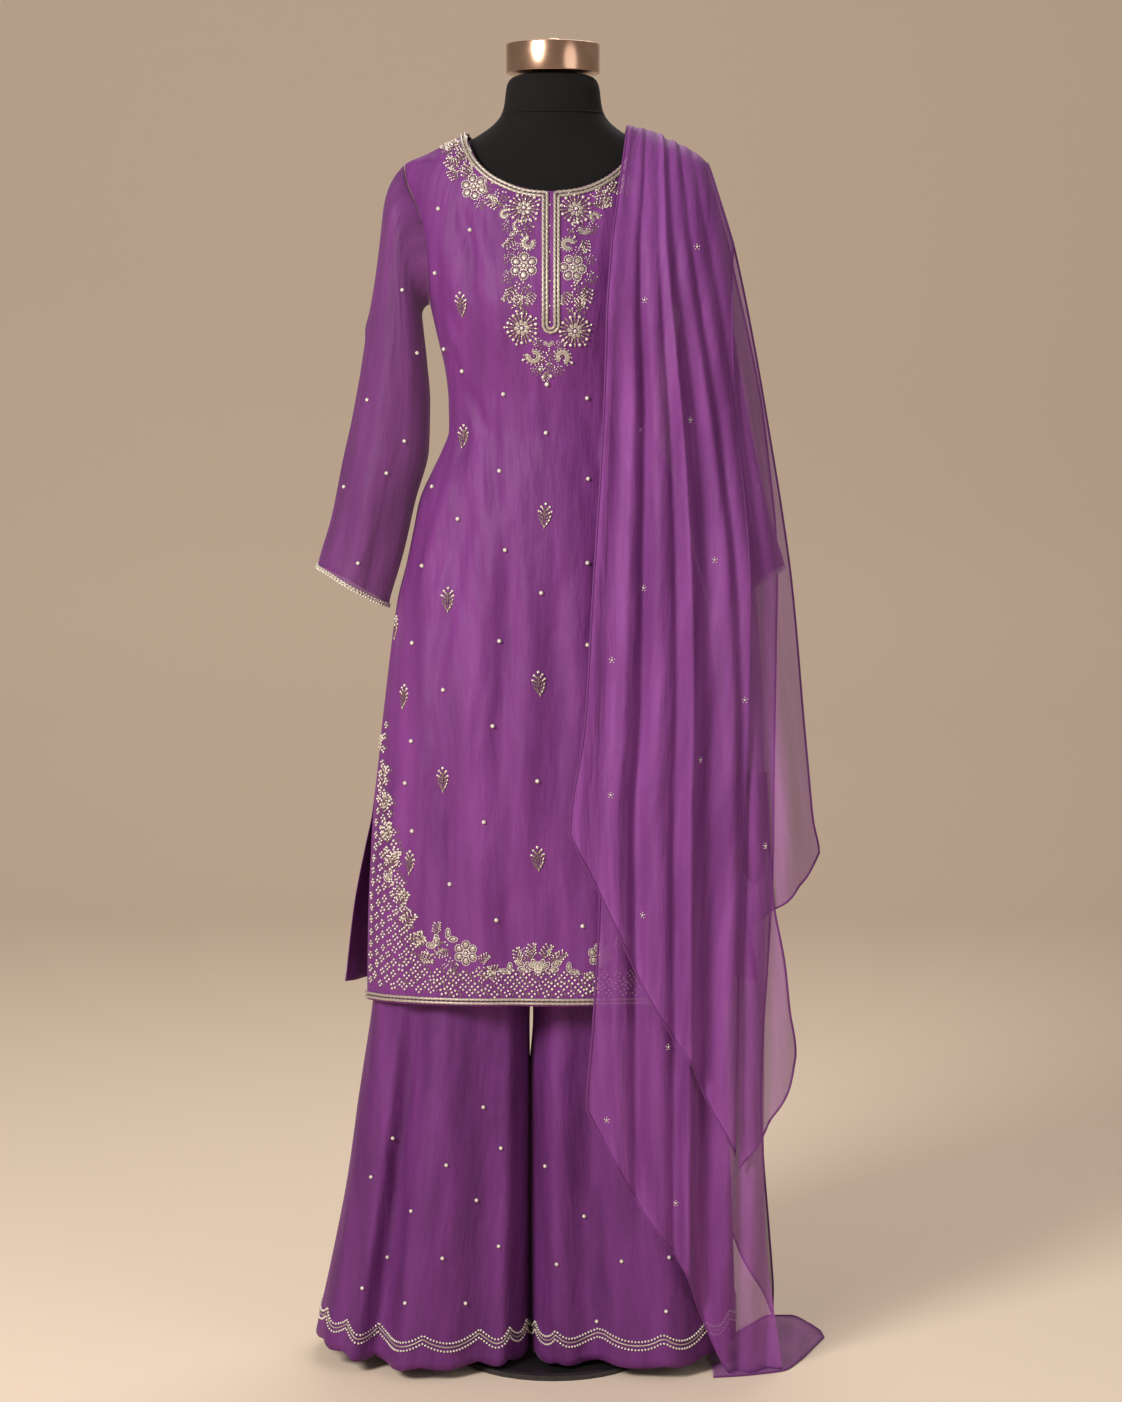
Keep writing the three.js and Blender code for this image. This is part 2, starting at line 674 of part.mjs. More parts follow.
function armhole(angle) {
  const z = between(ARMHOLE_FOOT, SHOULDER_TIP, (1 - Math.cos(angle)) / 2);
  const side = Math.sin(angle) < 0 ? -1 : 1;
  const point = tunic.face(TUNIC_LEAN + armholeEdge(z), z, side);
  return new THREE.Vector3(point.x - TUNIC_LEAN + SEAM + SLEEVE_WALL, point.y, z);
}

// side is -1 for the wearer's right sleeve and 1 for the left one
function sleeve(side) {
  return (turn, row) => {
    const angle = side < 0 ? turn : Math.PI - turn;
    const [outX, outZ, inX, inZ, depth] = sleeveRead.map((read) => read(row));
    const grown = SLEEVE_CREASE * blendIn((row - CREASE_FROM) / CREASE_EASE);
    const crease = 1 + grown * Math.sin(SLEEVE_FOLDS * angle + row / 3);
    const across = Math.cos(angle) * crease;
    const tube = new THREE.Vector3(
      (outX + inX) / 2 - ((outX - inX) / 2) * across,
      depth * crease * Math.sin(angle),
      (outZ + inZ) / 2 - ((outZ - inZ) / 2) * Math.cos(angle),
    );
    const point = armhole(angle).lerp(tube, blendIn(row / ARMHOLE_FADE));
    point.x = side * point.x + TUNIC_LEAN;
    return point;
  };
}

const aroundSleeve = steps(0, whole, 20).slice(0, -1);
const sleeveRows = [0, 0.5, 1, 1.6, 2.3, 3.2, 4.2, 5.2, 6.2, 7.1, 8, 9, 10];
const cuffRows = [9, 10];
const CUFF_WALL = 1.1;
[
  ['sleeve_right', 'cuff_right', -1],
  ['sleeve_left', 'cuff_left', 1],
].forEach(([name, cuffName, side]) => {
  const tube = sleeve(side);
  add(name, cloth(tube, aroundSleeve, sleeveRows, SLEEVE_WALL, true), SHEER_PURPLE, 0.5);
  const lift = (distance) => grid(tube, aroundSleeve, cuffRows, distance);
  add(cuffName, wall(lift(SEAM + CUFF_WALL), lift(SEAM), true), SILVER_CORD, 0.45, 0.3);
});

// Trousers. Each panel runs from an outer seam to the middle or inner seam, front and back.
// Over the hips it follows a quarter of the body, and below the crotch half of its leg

const hips = sections(HIPS, oval);
const LEG_ROUND = 2.3;
const CORNER_LIFT = 16;
const CORNER_EASE = 200;

function leg(table) {
  const outer = column(table, 'z', 'outer');
  const inner = column(table, 'z', 'inner');
  const front = column(table, 'z', 'front');
  const back = column(table, 'z', 'back');
  const round = (part) => Math.sign(part) * Math.abs(part) ** (2 / LEG_ROUND);
  return (angle, z, swell) => {
    const middle = (outer(z) + inner(z)) / 2;
    const half = Math.abs(outer(z) - inner(z)) / 2;
    const depth = Math.sin(angle) < 0 ? front(z) : back(z);
    return new THREE.Vector3(
      middle + half * round(Math.cos(angle)),
      (depth + swell) * round(Math.sin(angle)),
      z,
    );
  };
}

// side is -1 for the wearer's right leg, face is -1 for its front panel
function trouserPanel(side, face) {
  const legAt = leg(side < 0 ? RIGHT_LEG : LEFT_LEG);
  const hipStart = [side < 0 ? Math.PI : 1.5 * Math.PI, side < 0 ? quarter : 0][face < 0 ? 0 : 1];
  const legStart = face < 0 ? Math.PI : 0;
  return (u, z) => {
    const share = blendIn((RISE_TOP - z) / (RISE_TOP - CROTCH));
    const hipAngle = hipStart + u * quarter;
    const legAngle = legStart + u * Math.PI;
    const fromOuter = side * face < 0 ? 1 - u : u;
    const place = face < 0 ? fromOuter / 2 : 1 - fromOuter / 2;
    const grown = blendIn((LEG_FOLD_TOP - z) / LEG_FOLD_TOP);
    const folds = LEG_FOLDS.reduce(
      (sum, fold) => sum + fold.depth * Math.exp(-(((place - fold.at) / fold.width) ** 2)),
      0,
    );
    const ends = Math.sin(Math.PI * Math.min(1, Math.max(0, u)));
    const onLeg = legAt(legAngle, z, folds * grown * ends);
    const point = hips.at(hipAngle, z).lerp(onLeg, share);
    const isOuter = Math.max(0, side * Math.cos(legAngle));
    point.z += CORNER_LIFT * isOuter ** 3 * blendIn((CORNER_EASE - z) / CORNER_EASE);
    point.x += side * SEAM * (1 - share);
    point.y += face * (SEAM / 2);
    return point;
  };
}

const trouserColumns = steps(0, 1, 12);
const trouserRows = [WAIST_SEAM, 980, 925, 870, RISE_TOP, 800, 768, CROTCH]
  .concat([640, 520, 414, 300, 190, 100, 40, TROUSER_HEM]);
[
  ['trouser_right_front', -1, -1],
  ['trouser_right_back', -1, 1],
  ['trouser_left_front', 1, -1],
  ['trouser_left_back', 1, 1],
].forEach(([name, side, face]) => {
  const panel = trouserPanel(side, face);
  const byDrop = (u, drop) => panel(u, DOWN * drop);
  const rows = trouserRows.map((z) => DOWN * z);
  add(name, cloth(byDrop, trouserColumns, rows, TROUSER_WALL), TROUSER_SILK, 0.6);
});

const band = sections(WAISTBAND, oval);
const bandPoint = (angle, drop) => band.at(angle, DOWN * drop);
const bandRows = [DOWN * BAND_TOP, DOWN * (WAIST_SEAM + SEAM)];
const BAND_WALL = 2;
const aroundWaist = steps(0, whole, 24).slice(0, -1);
add('waistband', cloth(bandPoint, aroundWaist, bandRows, BAND_WALL, true), TROUSER_SILK, 0.7);

// Scarf. Every stretch hangs in the room that the drape's sections give, in shared pleats

const drape = sections(DRAPE, () => SCARF_ROUND);
const fallLeft = column(FALL, 'z', 'left');
const fallRight = column(FALL, 'z', 'right');
const fallDrift = column(FALL, 'z', 'drift');
const fallSwing = column(FALL, 'z', 'swing');

// The pleats run down the whole scarf, so that stretches that lie on each other keep their distance
const SLOW_PLEATS = 3.41;
const SLOW_START = 0.2;
const SLOW_SHARE = 0.3;
function pleat(x, z) {
  const share = (x - fallLeft(z)) / (fallRight(z) - fallLeft(z)) + fallDrift(z);
  const quick = Math.cos(whole * SCARF_PLEATS * (share - 0.5));
  const slow = Math.cos(whole * (SLOW_PLEATS * share + SLOW_START));
  return fallSwing(z) * between(quick, slow, SLOW_SHARE);
}

// inset is how far a stretch hangs inside the outermost one, at its top and lower down.
// The pleats flatten toward the side, where the cloth turns away
const SIDE_FLATTENS = 0.6;
function fall(stretch, side, inset) {
  const left = column(stretch.edges, 'z', 'left');
  const right = column(stretch.edges, 'z', 'right');
  const hem = column(stretch.hem, 'across', 'z');
  const top = stretch.edges[0].z;
  return (u, v) => {
    const across = side < 0 ? u : 1 - u;
    const z = between(top, hem(across), v);
    const x = between(left(z), right(z), across);
    const depth = between(inset.top, inset.below, blendIn((top - z) / inset.ease));
    const point = drape.face(x, z, side, depth);
    const steep = Math.min(1, Math.abs(x) / drape.half(z)) ** 3;
    const wave = pleat(x, z) * blendIn((SCARF_BREAK - z) / PLEAT_EASE);
    point.y += side * wave * (1 - SIDE_FLATTENS * steep);
    return point;
  };
}

const OUTERMOST = { top: 0, below: 0, ease: 1 };
const UNDER_UPPER = { top: 2.3, below: 18, ease: 160 };
const BESIDE_UPPER = { top: 0, below: 9, ease: 110 };
const OVER_SIDE = { top: 6.4, below: 4.5, ease: 60 };
const fallPieces = {
  dupatta_upper_fall: [UPPER_FALL, -1, OUTERMOST, 22, 13],
  dupatta_side_fall: [SIDE_FALL, -1, BESIDE_UPPER, 10, 11],
  dupatta_lower_fall: [LOWER_FALL, -1, UNDER_UPPER, 22, 14],
  dupatta_cascade: [CASCADE, -1, OVER_SIDE, 7, 6],
  dupatta_back_fall: [BACK_FALL, 1, OUTERMOST, 16, 12],
};
Object.entries(fallPieces).forEach(([name, [stretch, side, inset, wide, tall]]) => {
  const surface = fall(stretch, side, inset);
  add(name, cloth(surface, steps(0, 1, wide), steps(0, 1, tall), SCARF_WALL), SHEER_PURPLE, 0.5);
});

// Over the shoulder: u runs from the neck to the tip, v from the front break to the back one
const RIDGE_NECK = 84;
const RIDGE_TIP = 175;
const STACK_TAPER = 8;
const STACK_FROM = 98;
const STACK_TO = 160;
const STACK_EASE = 14;

// The height at which a stack of sections narrows to a given half width
function ridgeHeight(half, halfWidth) {
  let low = SCARF_BREAK;
  let high = DRAPE[0].z;
  for (let halving = 0; halving < 40; halving += 1) {
    const middle = (low + high) / 2;
    if (half(middle) > halfWidth) low = middle;
    else high = middle;
  }
  return low;
}

function overShoulder(u, v) {
  const turn = Math.PI * v;
  const ridgeX = between(RIDGE_NECK, RIDGE_TIP, u);
  const footX = between(FALL[0].left, FALL[0].right, u);
  const climb = Math.sin(turn);
  const foot = SCARF_BREAK + 1.5 * SEAM;
  const z = between(foot, ridgeHeight(drape.half, ridgeX), climb);
  const x = between(footX, ridgeX, climb);
  return drape.face(x, z, Math.cos(turn) > 0 ? -1 : 1);
}

// The pleats lie in a stack on the ridge of the shoulder and fan out to one layer at the breaks
function underShoulder(u, v) {
  const outer = overShoulder(u, v);
  const ridge = overShoulder(u, 0.5);
  const room = ridge.z - ridgeHeight(tunic.half, ridge.x - TUNIC_LEAN) - SCARF_WALL - 2 * SEAM;
  const pastNeck = blendIn((ridge.x - STACK_FROM) / STACK_EASE);
  const seated = pastNeck * blendIn((STACK_TO - ridge.x) / STACK_EASE);
  const stack = Math.max(0, room) * seated * Math.sin(Math.PI * v) ** STACK_TAPER;
  outer.z -= stack;
  return outer;
}

const fromBack = (surface) => (u, v) => surface(u, 1 - v);
const shoulderColumns = steps(0, 1, 12);
const shoulderRows = steps(0, 1, 16);
add(
  'dupatta_shoulder',
  wall(
    grid(fromBack(overShoulder), shoulderColumns, shoulderRows),
    grid(fromBack(underShoulder), shoulderColumns, shoulderRows, -SCARF_WALL),
  ),
  SHEER_PURPLE,
  0.5,
);

// The tail lies on the floor, with low ripples along it
const RIPPLE = 2.5;
const RIPPLES_ALONG = 7;
const RIPPLES_ACROSS = 5;
const tailFar = column(TAIL, 'x', 'far');
const tailNear = column(TAIL, 'x', 'near');
function tail(u, v) {
  const x = between(TAIL[0].x, TAIL[TAIL.length - 1].x, u);
  const y = between(tailFar(x), tailNear(x), v);
  const wave = 1 + Math.sin(RIPPLES_ALONG * u + RIPPLES_ACROSS * v);
  return new THREE.Vector3(x, y, SCARF_WALL + RIPPLE * wave * Math.sin(Math.PI * v));
}
const tailColumns = steps(0, 1, 12);
const tailRows = steps(0, 1, 6);
const underTail = (point) => point.clone().setZ(point.z - SCARF_WALL);
const tailTop = tailRows.map((v) => tailColumns.map((u) => tail(u, v)));
const tailFoot = tailTop.map((row) => row.map(underTail));
add('dupatta_tail', wall(tailTop, tailFoot), SHEER_PURPLE, 0.5);

export default suit;
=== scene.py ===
import math

import bmesh
import bpy
import numpy as np
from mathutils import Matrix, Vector
from mathutils.bvhtree import BVHTree


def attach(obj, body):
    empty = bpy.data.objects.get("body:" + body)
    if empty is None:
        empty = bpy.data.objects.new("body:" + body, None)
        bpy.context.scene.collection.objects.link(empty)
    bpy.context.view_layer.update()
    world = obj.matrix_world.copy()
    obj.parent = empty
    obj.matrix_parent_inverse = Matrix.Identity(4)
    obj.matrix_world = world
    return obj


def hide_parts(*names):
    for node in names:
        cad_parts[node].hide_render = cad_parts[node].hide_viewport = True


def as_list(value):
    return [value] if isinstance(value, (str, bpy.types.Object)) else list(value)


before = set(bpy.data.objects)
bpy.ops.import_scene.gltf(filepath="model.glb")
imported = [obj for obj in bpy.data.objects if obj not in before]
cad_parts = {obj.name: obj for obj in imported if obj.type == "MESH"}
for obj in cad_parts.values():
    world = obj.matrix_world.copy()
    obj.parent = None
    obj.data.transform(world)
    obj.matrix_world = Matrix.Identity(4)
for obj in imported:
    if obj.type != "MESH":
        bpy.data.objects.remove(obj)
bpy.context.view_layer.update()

# The studio: a pale floor that curves up into a plain pale wall behind the suit.
# A large soft light stands to the left of the camera, a fill to its right, and a
# weak one overhead and behind picks out the shoulders.

CAMERA_PLACE = Vector((0.0092, -3.5, 1.12))
CAMERA_TILT = math.radians(90 - 5.7)
SENSOR_WIDTH, FOCAL_LENGTH = 36, 97.64
camera_data = bpy.data.cameras.new("studio_camera")
camera_data.sensor_fit = "HORIZONTAL"
camera_data.sensor_width = SENSOR_WIDTH
camera_data.lens = FOCAL_LENGTH
camera = bpy.data.objects.new("studio_camera", camera_data)
camera.location = CAMERA_PLACE
camera.rotation_euler = (CAMERA_TILT, 0, 0)
bpy.context.collection.objects.link(camera)
bpy.context.scene.camera = camera
bpy.context.scene.view_settings.view_transform = "Standard"

for light_name, place, aim, size, power, tint in [
    ("key_light", (-1.95, -2.6, 2.3), (0, 0, 0.95), 1.2, 122, (1, 0.96, 0.92)),
    ("fill_light", (2.4, -2.5, 1.5), (0, 0, 0.8), 2.0, 15, (0.98, 0.97, 1)),
    ("top_light", (0.3, 1.1, 2.9), (0, 0.1, 1), 1.6, 26, (1, 0.98, 0.95)),
]:
    lamp = bpy.data.lights.new(light_name, "AREA")
    lamp.shape = "DISK"
    lamp.size = size
    lamp.energy = power
    lamp.color = tint
    stand = bpy.data.objects.new(light_name, lamp)
    stand.location = place
    stand.rotation_euler = (Vector(aim) - Vector(place)).to_track_quat("-Z", "Y").to_euler()
    bpy.context.collection.objects.link(stand)

studio_world = bpy.data.worlds.new("studio_world")
studio_world.use_nodes = True
backlight = studio_world.node_tree.nodes["Background"]
backlight.inputs["Color"].default_value = (0.95, 0.88, 0.8, 1)
backlight.inputs["Strength"].default_value = 0.3
bpy.context.scene.world = studio_world

FLOOR_SIZE = 6
WALL_STEP_BACK, WALL_LEAN = 0.45, 0.05
CURVE_RISES, WALL_RISE = (0.1, 0.25, 0.45), 3.2
bpy.ops.object.select_all(action="DESELECT")
bpy.ops.mesh.primitive_plane_add(size=FLOOR_SIZE, location=(0, 0, 0))
floor = bpy.context.object
floor.name = "studio_floor"
bpy.ops.object.mode_set(mode="EDIT")
bpy.ops.mesh.select_all(action="DESELECT")
bpy.ops.object.mode_set(mode="OBJECT")
for edge in floor.data.edges:
    edge.select = all(floor.data.vertices[i].co.y > 0.48 * FLOOR_SIZE for i in edge.vertices)
bpy.ops.object.mode_set(mode="EDIT")
bpy.ops.mesh.select_mode(type="EDGE")
for rise in (*CURVE_RISES, WALL_RISE):
    back = WALL_LEAN if rise == WALL_RISE else WALL_STEP_BACK
    bpy.ops.mesh.extrude_region_move(TRANSFORM_OT_translate={"value": (0, back, rise)})
bpy.ops.mesh.select_all(action="SELECT")
bpy.ops.mesh.normals_make_consistent(inside=True)
bpy.ops.object.mode_set(mode="OBJECT")
bpy.ops.object.shade_smooth()
floor_finish = bpy.data.materials.new("pale_floor")
floor_finish.use_nodes = True
floor_nodes, floor_links = floor_finish.node_tree.nodes, floor_finish.node_tree.links
paint = floor_nodes["Principled BSDF"]
paint.inputs["Base Color"].default_value = (0.83, 0.68, 0.54, 1)
paint.inputs["Roughness"].default_value = 0.75
# The wall is clear from its far side, so the suit also shows from behind
far_side = floor_nodes.new("ShaderNodeNewGeometry")
clear = floor_nodes.new("ShaderNodeBsdfTransparent")
either = floor_nodes.new("ShaderNodeMixShader")
floor_links.new(far_side.outputs["Backfacing"], either.inputs["Fac"])
floor_links.new(paint.outputs["BSDF"], either.inputs[1])
floor_links.new(clear.outputs["BSDF"], either.inputs[2])
floor_links.new(either.outputs["Shader"], floor_nodes["Material Output"].inputs["Surface"])
floor.data.materials.append(floor_finish)

# The dress form: a moulded torso covered in black stretch jersey, with a seam where
# the neck piece is sewn on. It is made smooth from the frame's own torso. The pole
# and the round base that carry it are black enamelled steel and keep their shapes.

MM = 0.001


def object_noise(material, scale, detail=3.0, stretch=(1, 1, 1)):
    """Noise on the piece's own place, for the variation of a finish."""
    nodes, links = material.node_tree.nodes, material.node_tree.links
    place = nodes.new("ShaderNodeTexCoord")
    mapping = nodes.new("ShaderNodeMapping")
    mapping.inputs["Scale"].default_value = stretch
    noise = nodes.new("ShaderNodeTexNoise")
    noise.inputs["Scale"].default_value = scale
    noise.inputs["Detail"].default_value = detail
    links.new(place.outputs["Object"], mapping.inputs["Vector"])
    links.new(mapping.outputs["Vector"], noise.inputs["Vector"])
    return noise


def plain_finish(name, dark, light, roughness, metallic=0.0, grain=60, bump=0.2, depth=0.0004):
    """A finish whose colour and roughness vary softly over the piece."""
    material = bpy.data.materials.new(name)
    material.use_nodes = True
    nodes, links = material.node_tree.nodes, material.node_tree.links
    surface = nodes["Principled BSDF"]
    surface.inputs["Metallic"].default_value = metallic
    noise = object_noise(material, grain)
    ramp = nodes.new("ShaderNodeValToRGB")
    ramp.color_ramp.elements[0].position = 0.3
    ramp.color_ramp.elements[0].color = (*dark, 1)
    ramp.color_ramp.elements[1].position = 0.7
    ramp.color_ramp.elements[1].color = (*light, 1)
    links.new(noise.outputs["Fac"], ramp.inputs["Fac"])
    links.new(ramp.outputs["Color"], surface.inputs["Base Color"])
    spread = nodes.new("ShaderNodeMapRange")
    spread.inputs["To Min"].default_value = roughness - 0.06
    spread.inputs["To Max"].default_value = roughness + 0.06
    links.new(noise.outputs["Fac"], spread.inputs["Value"])
    links.new(spread.outputs["Result"], surface.inputs["Roughness"])
    relief = nodes.new("ShaderNodeBump")
    relief.inputs["Strength"].default_value = bump
    relief.inputs["Distance"].default_value = depth
    links.new(noise.outputs["Fac"], relief.inputs["Height"])
    links.new(relief.outputs["Normal"], surface.inputs["Normal"])
    return material


def pick(piece):
    """Makes a piece the only one that an operator works on."""
    bpy.ops.object.select_all(action="DESELECT")
    piece.select_set(True)
    bpy.context.view_layer.objects.active = piece


def smooth_copy(node, name, levels):
    """A smooth piece made from a merged copy of a CAD node."""
    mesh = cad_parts[node].data.copy()
    mesh.name = name
    piece = bpy.data.objects.new(name, mesh)
    bpy.context.collection.objects.link(piece)
    pick(piece)
    bpy.ops.object.mode_set(mode="EDIT")
    bpy.ops.mesh.select_all(action="SELECT")
    bpy.ops.mesh.remove_doubles(threshold=0.00002)
    bpy.ops.mesh.tris_convert_to_quads(face_threshold=0.9, shape_threshold=0.9)
    bpy.ops.object.mode_set(mode="OBJECT")
    if mesh.has_custom_normals:
        bpy.ops.mesh.customdata_custom_splitnormals_clear()
    smoother = piece.modifiers.new("smooth", "SUBSURF")
    smoother.levels = smoother.render_levels = levels
    bpy.ops.object.modifier_apply(modifier=smoother.name)
    bpy.ops.object.shade_smooth()
    mesh.materials.clear()
    return piece


torso = smooth_copy("form_torso", "jersey_torso", 2)
jersey = plain_finish(
    "black_jersey_knit", (0.0055, 0.0045, 0.005), (0.011, 0.009, 0.01), roughness=0.88, grain=900
)
knit = jersey.node_tree.nodes["Principled BSDF"]
knit.inputs["Sheen Weight"].default_value = 0.05
knit.inputs["Specular IOR Level"].default_value = 0.15
torso.data.materials.append(jersey)
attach(torso, "root")
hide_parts("form_torso")

NECK_SEAM_HEIGHT = 1.4395
NECK_SEAM_HALF, NECK_SEAM_THREAD = 0.0573, 0.0011
NECK_DEPTH_SHARE = 0.865
bpy.ops.object.select_all(action="DESELECT")
bpy.ops.mesh.primitive_torus_add(
    major_radius=NECK_SEAM_HALF,
    minor_radius=NECK_SEAM_THREAD,
    major_segments=96,
    minor_segments=10,
    location=(0, 0, NECK_SEAM_HEIGHT),
)
neck_seam = bpy.context.object
neck_seam.name = "neck_base_seam"
bpy.ops.object.mode_set(mode="EDIT")
bpy.ops.mesh.select_all(action="SELECT")
bpy.ops.transform.resize(value=(1, NECK_DEPTH_SHARE, 1))
bpy.ops.object.mode_set(mode="OBJECT")
bpy.ops.object.transform_apply(location=True, rotation=True, scale=True)
bpy.ops.object.shade_smooth()
neck_seam.data.materials.append(jersey)
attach(neck_seam, "root")

enamel = plain_finish(
    "black_enamel", (0.012, 0.011, 0.012), (0.02, 0.018, 0.019), 0.38, grain=220, bump=0.1
)
enamel.node_tree.nodes["Principled BSDF"].inputs["Coat Weight"].default_value = 0.3
for node in ("form_pole", "form_base"):
    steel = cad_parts[node]
    steel.data.materials.clear()
    steel.data.materials.append(enamel)

# The neck cap is spun from rose-coloured brass and polished: a drum with a soft top
# edge, a crowned lid and a small button. It drops over the form's neck.

CAP_RADIUS, CAP_FOOT, CAP_HEIGHT = 0.053, 1.4845, 0.0325
# How far each step of the lid goes in and up, from its edge to the button's foot
LID_STEPS = [(0.0012, 0.0), (0.0016, -0.0006), (0.018, 0.0026), (0.020, 0.001), (0.0035, 0)]
BUTTON_HEIGHT, BUTTON_EDGE, BUTTON_CROWN = 0.0024, 0.0022, 0.0012
RIM_WIDTH, EDGE_ROUNDING = 0.0015, 0.0011
bpy.ops.object.select_all(action="DESELECT")
bpy.ops.mesh.primitive_cylinder_add(
    vertices=72,
    radius=CAP_RADIUS,
    depth=CAP_HEIGHT,
    end_fill_type="NGON",
    location=(0, 0, CAP_FOOT + CAP_HEIGHT / 2),
)
cap = bpy.context.object
cap.name = "rose_brass_cap"
bpy.ops.object.transform_apply(location=True, rotation=False, scale=False)


def pick_faces(piece, test):
    """Selects the faces whose middle passes a test, in edit mode."""
    bpy.ops.object.mode_set(mode="OBJECT")
    for part in (piece.data.vertices, piece.data.edges, piece.data.polygons):
        part.foreach_set("select", [False] * len(part))
    for face in piece.data.polygons:
        face.select = test(face)
    bpy.ops.object.mode_set(mode="EDIT")
    bpy.ops.mesh.select_mode(type="FACE")


bpy.ops.object.mode_set(mode="EDIT")
pick_faces(cap, lambda face: face.normal.z > 0.9)
for shrink, lift in LID_STEPS:
    bpy.ops.mesh.inset(thickness=shrink, depth=lift)
bpy.ops.mesh.extrude_region_move(TRANSFORM_OT_translate={"value": (0, 0, BUTTON_HEIGHT)})
bpy.ops.mesh.inset(thickness=BUTTON_EDGE, depth=BUTTON_CROWN)
pick_faces(cap, lambda face: face.normal.z < -0.9)
bpy.ops.mesh.inset(thickness=RIM_WIDTH, depth=0.0)
bpy.ops.object.mode_set(mode="OBJECT")
rounding = cap.modifiers.new("soft_edges", "BEVEL")
rounding.width = EDGE_ROUNDING
rounding.segments = 3
rounding.limit_method = "ANGLE"
rounding.angle_limit = math.radians(40)
bpy.ops.object.modifier_apply(modifier=rounding.name)
bpy.ops.object.shade_smooth_by_angle(angle=math.radians(35))
rose_brass = plain_finish(
    "rose_brass", (0.52, 0.31, 0.21), (0.62, 0.39, 0.27), 0.22, metallic=1.0, grain=35, bump=0.04
)
cap.data.materials.append(rose_brass)
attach(cap, "root")
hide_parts("form_neck_cap")

# The tunic: plain-woven tissue silk in purple, cut as a front and a back panel and
# sewn down the sides to the slits. The cloth is crisp, so it shows long soft draws
# from the bust, broken lines of light and small creases that differ all over; the
# lighter streaks in its colour are painted sheen.


def curve(at, value):
    """A smooth curve through the rows of a table, which never overshoots them."""
    at, value = np.array(at, float), np.array(value, float)
    order = np.argsort(at)
    at, value = at[order], value[order]
    width = np.diff(at)
    rise = np.diff(value) / width
    before, after = np.r_[rise[0], rise], np.r_[rise, rise[-1]]
    same_way = before * after > 0
    slope = np.where(same_way, 2 * before * after / np.where(same_way, before + after, 1), 0)

    def read(where):
        held = np.clip(where, at[0], at[-1])
        i = np.clip(np.searchsorted(at, held, side="right") - 1, 0, len(at) - 2)
        t = (held - at[i]) / width[i]
        near = value[i] * (1 + 2 * t) * (1 - t) ** 2 + width[i] * slope[i] * t * (1 - t) ** 2
        far = value[i + 1] * t * t * (3 - 2 * t) - width[i] * slope[i + 1] * t * t * (1 - t)
        return near + far

    return read


def blend_in(share):
    """Eases from 0 to 1."""
    held = np.clip(share, 0, 1)
    return held * held * (3 - 2 * held)


def mix(low, high, share):
    return low + (high - low) * share


# Height, half width, and how far the front and the back stand from the middle
TUNIC_SECTIONS = [
    (1440, 62, 53, 57),
    (1418, 95, 55, 60),
    (1410, 110, 56, 62),
    (1395, 140, 59, 67),
    (1382, 166, 64, 73),
    (1365, 168, 72, 81),
    (1340, 163, 83, 89),
    (1300, 154.5, 97, 95),
    (1260, 146, 110, 95),
    (1225, 138, 114.5, 92),
    (1190, 130, 109, 88),
    (1150, 121, 98, 83),
    (1117, 117.5, 91, 80),
    (1083, 117, 89, 80),
    (1060, 125, 92, 85),
    (1037, 136, 96, 92),
    (1003, 151, 101, 103),
    (970, 158, 105, 113),
    (934, 165.5, 108, 121),
    (888, 177, 111, 125),
    (830, 185, 114, 124),
    (772, 192, 118, 122),
    (714, 198.5, 121, 121),
    (655, 204.5, 123, 120),
    (597, 209, 125, 120),
    (540, 212, 126, 120),
    (483, 214, 127, 120),
    (428, 216, 128, 120),
]
tunic_z, tunic_halves, tunic_fronts, tunic_backs = zip(*TUNIC_SECTIONS)
tunic_half = curve(tunic_z, tunic_halves)
tunic_front_depth = curve(tunic_z, tunic_fronts)
tunic_back_depth = curve(tunic_z, tunic_backs)
back_flare = curve([700, 643, 600, 530, 428], [0, 2, 8, 20, 36])
TUNIC_LEAN = -2
ARMHOLE_FOOT, SHOULDER_TIP, NECK_POINT = 1225, 1382, 1418
NECK_SHARE, NECK_SPREAD, NECK_HALF = 5 / 12, 1.25, 93
NECK_DROP = {-1: 70, 1: 18}
ARMHOLE_HOLLOW = 13
TUNIC_HEM, HEM_DIP, BACK_HEM_RISE = 428, 10, 6
SLIT_TOP, SLIT_SPREAD = 643, {-1: 0.2, 1: 0.3}
YOKE_ROWS, SKIRT_ROWS, PANEL_COLUMNS = 46, 132, 109
CLOTH_WALL = 0.0008


def tunic_round(z):
    return 2 + 0.5 * blend_in((1003 - z) / 300)


def tunic_depth(z, side):
    return tunic_front_depth(z) if side < 0 else tunic_back_depth(z)


def tunic_face(x, z, side):
    """How far the tunic stands from the middle at a place seen from the front or back."""
    share = np.clip(np.abs(x - TUNIC_LEAN) / tunic_half(z), 0, 1)
    power = tunic_round(z)
    return side * tunic_depth(z, side) * (1 - share**power) ** (1 / power)


def armhole_edge(z):
    climb = np.clip((z - ARMHOLE_FOOT) / (SHOULDER_TIP - ARMHOLE_FOOT), 0, 1)
    return tunic_half(z) - ARMHOLE_HOLLOW * np.sin(np.pi * climb)


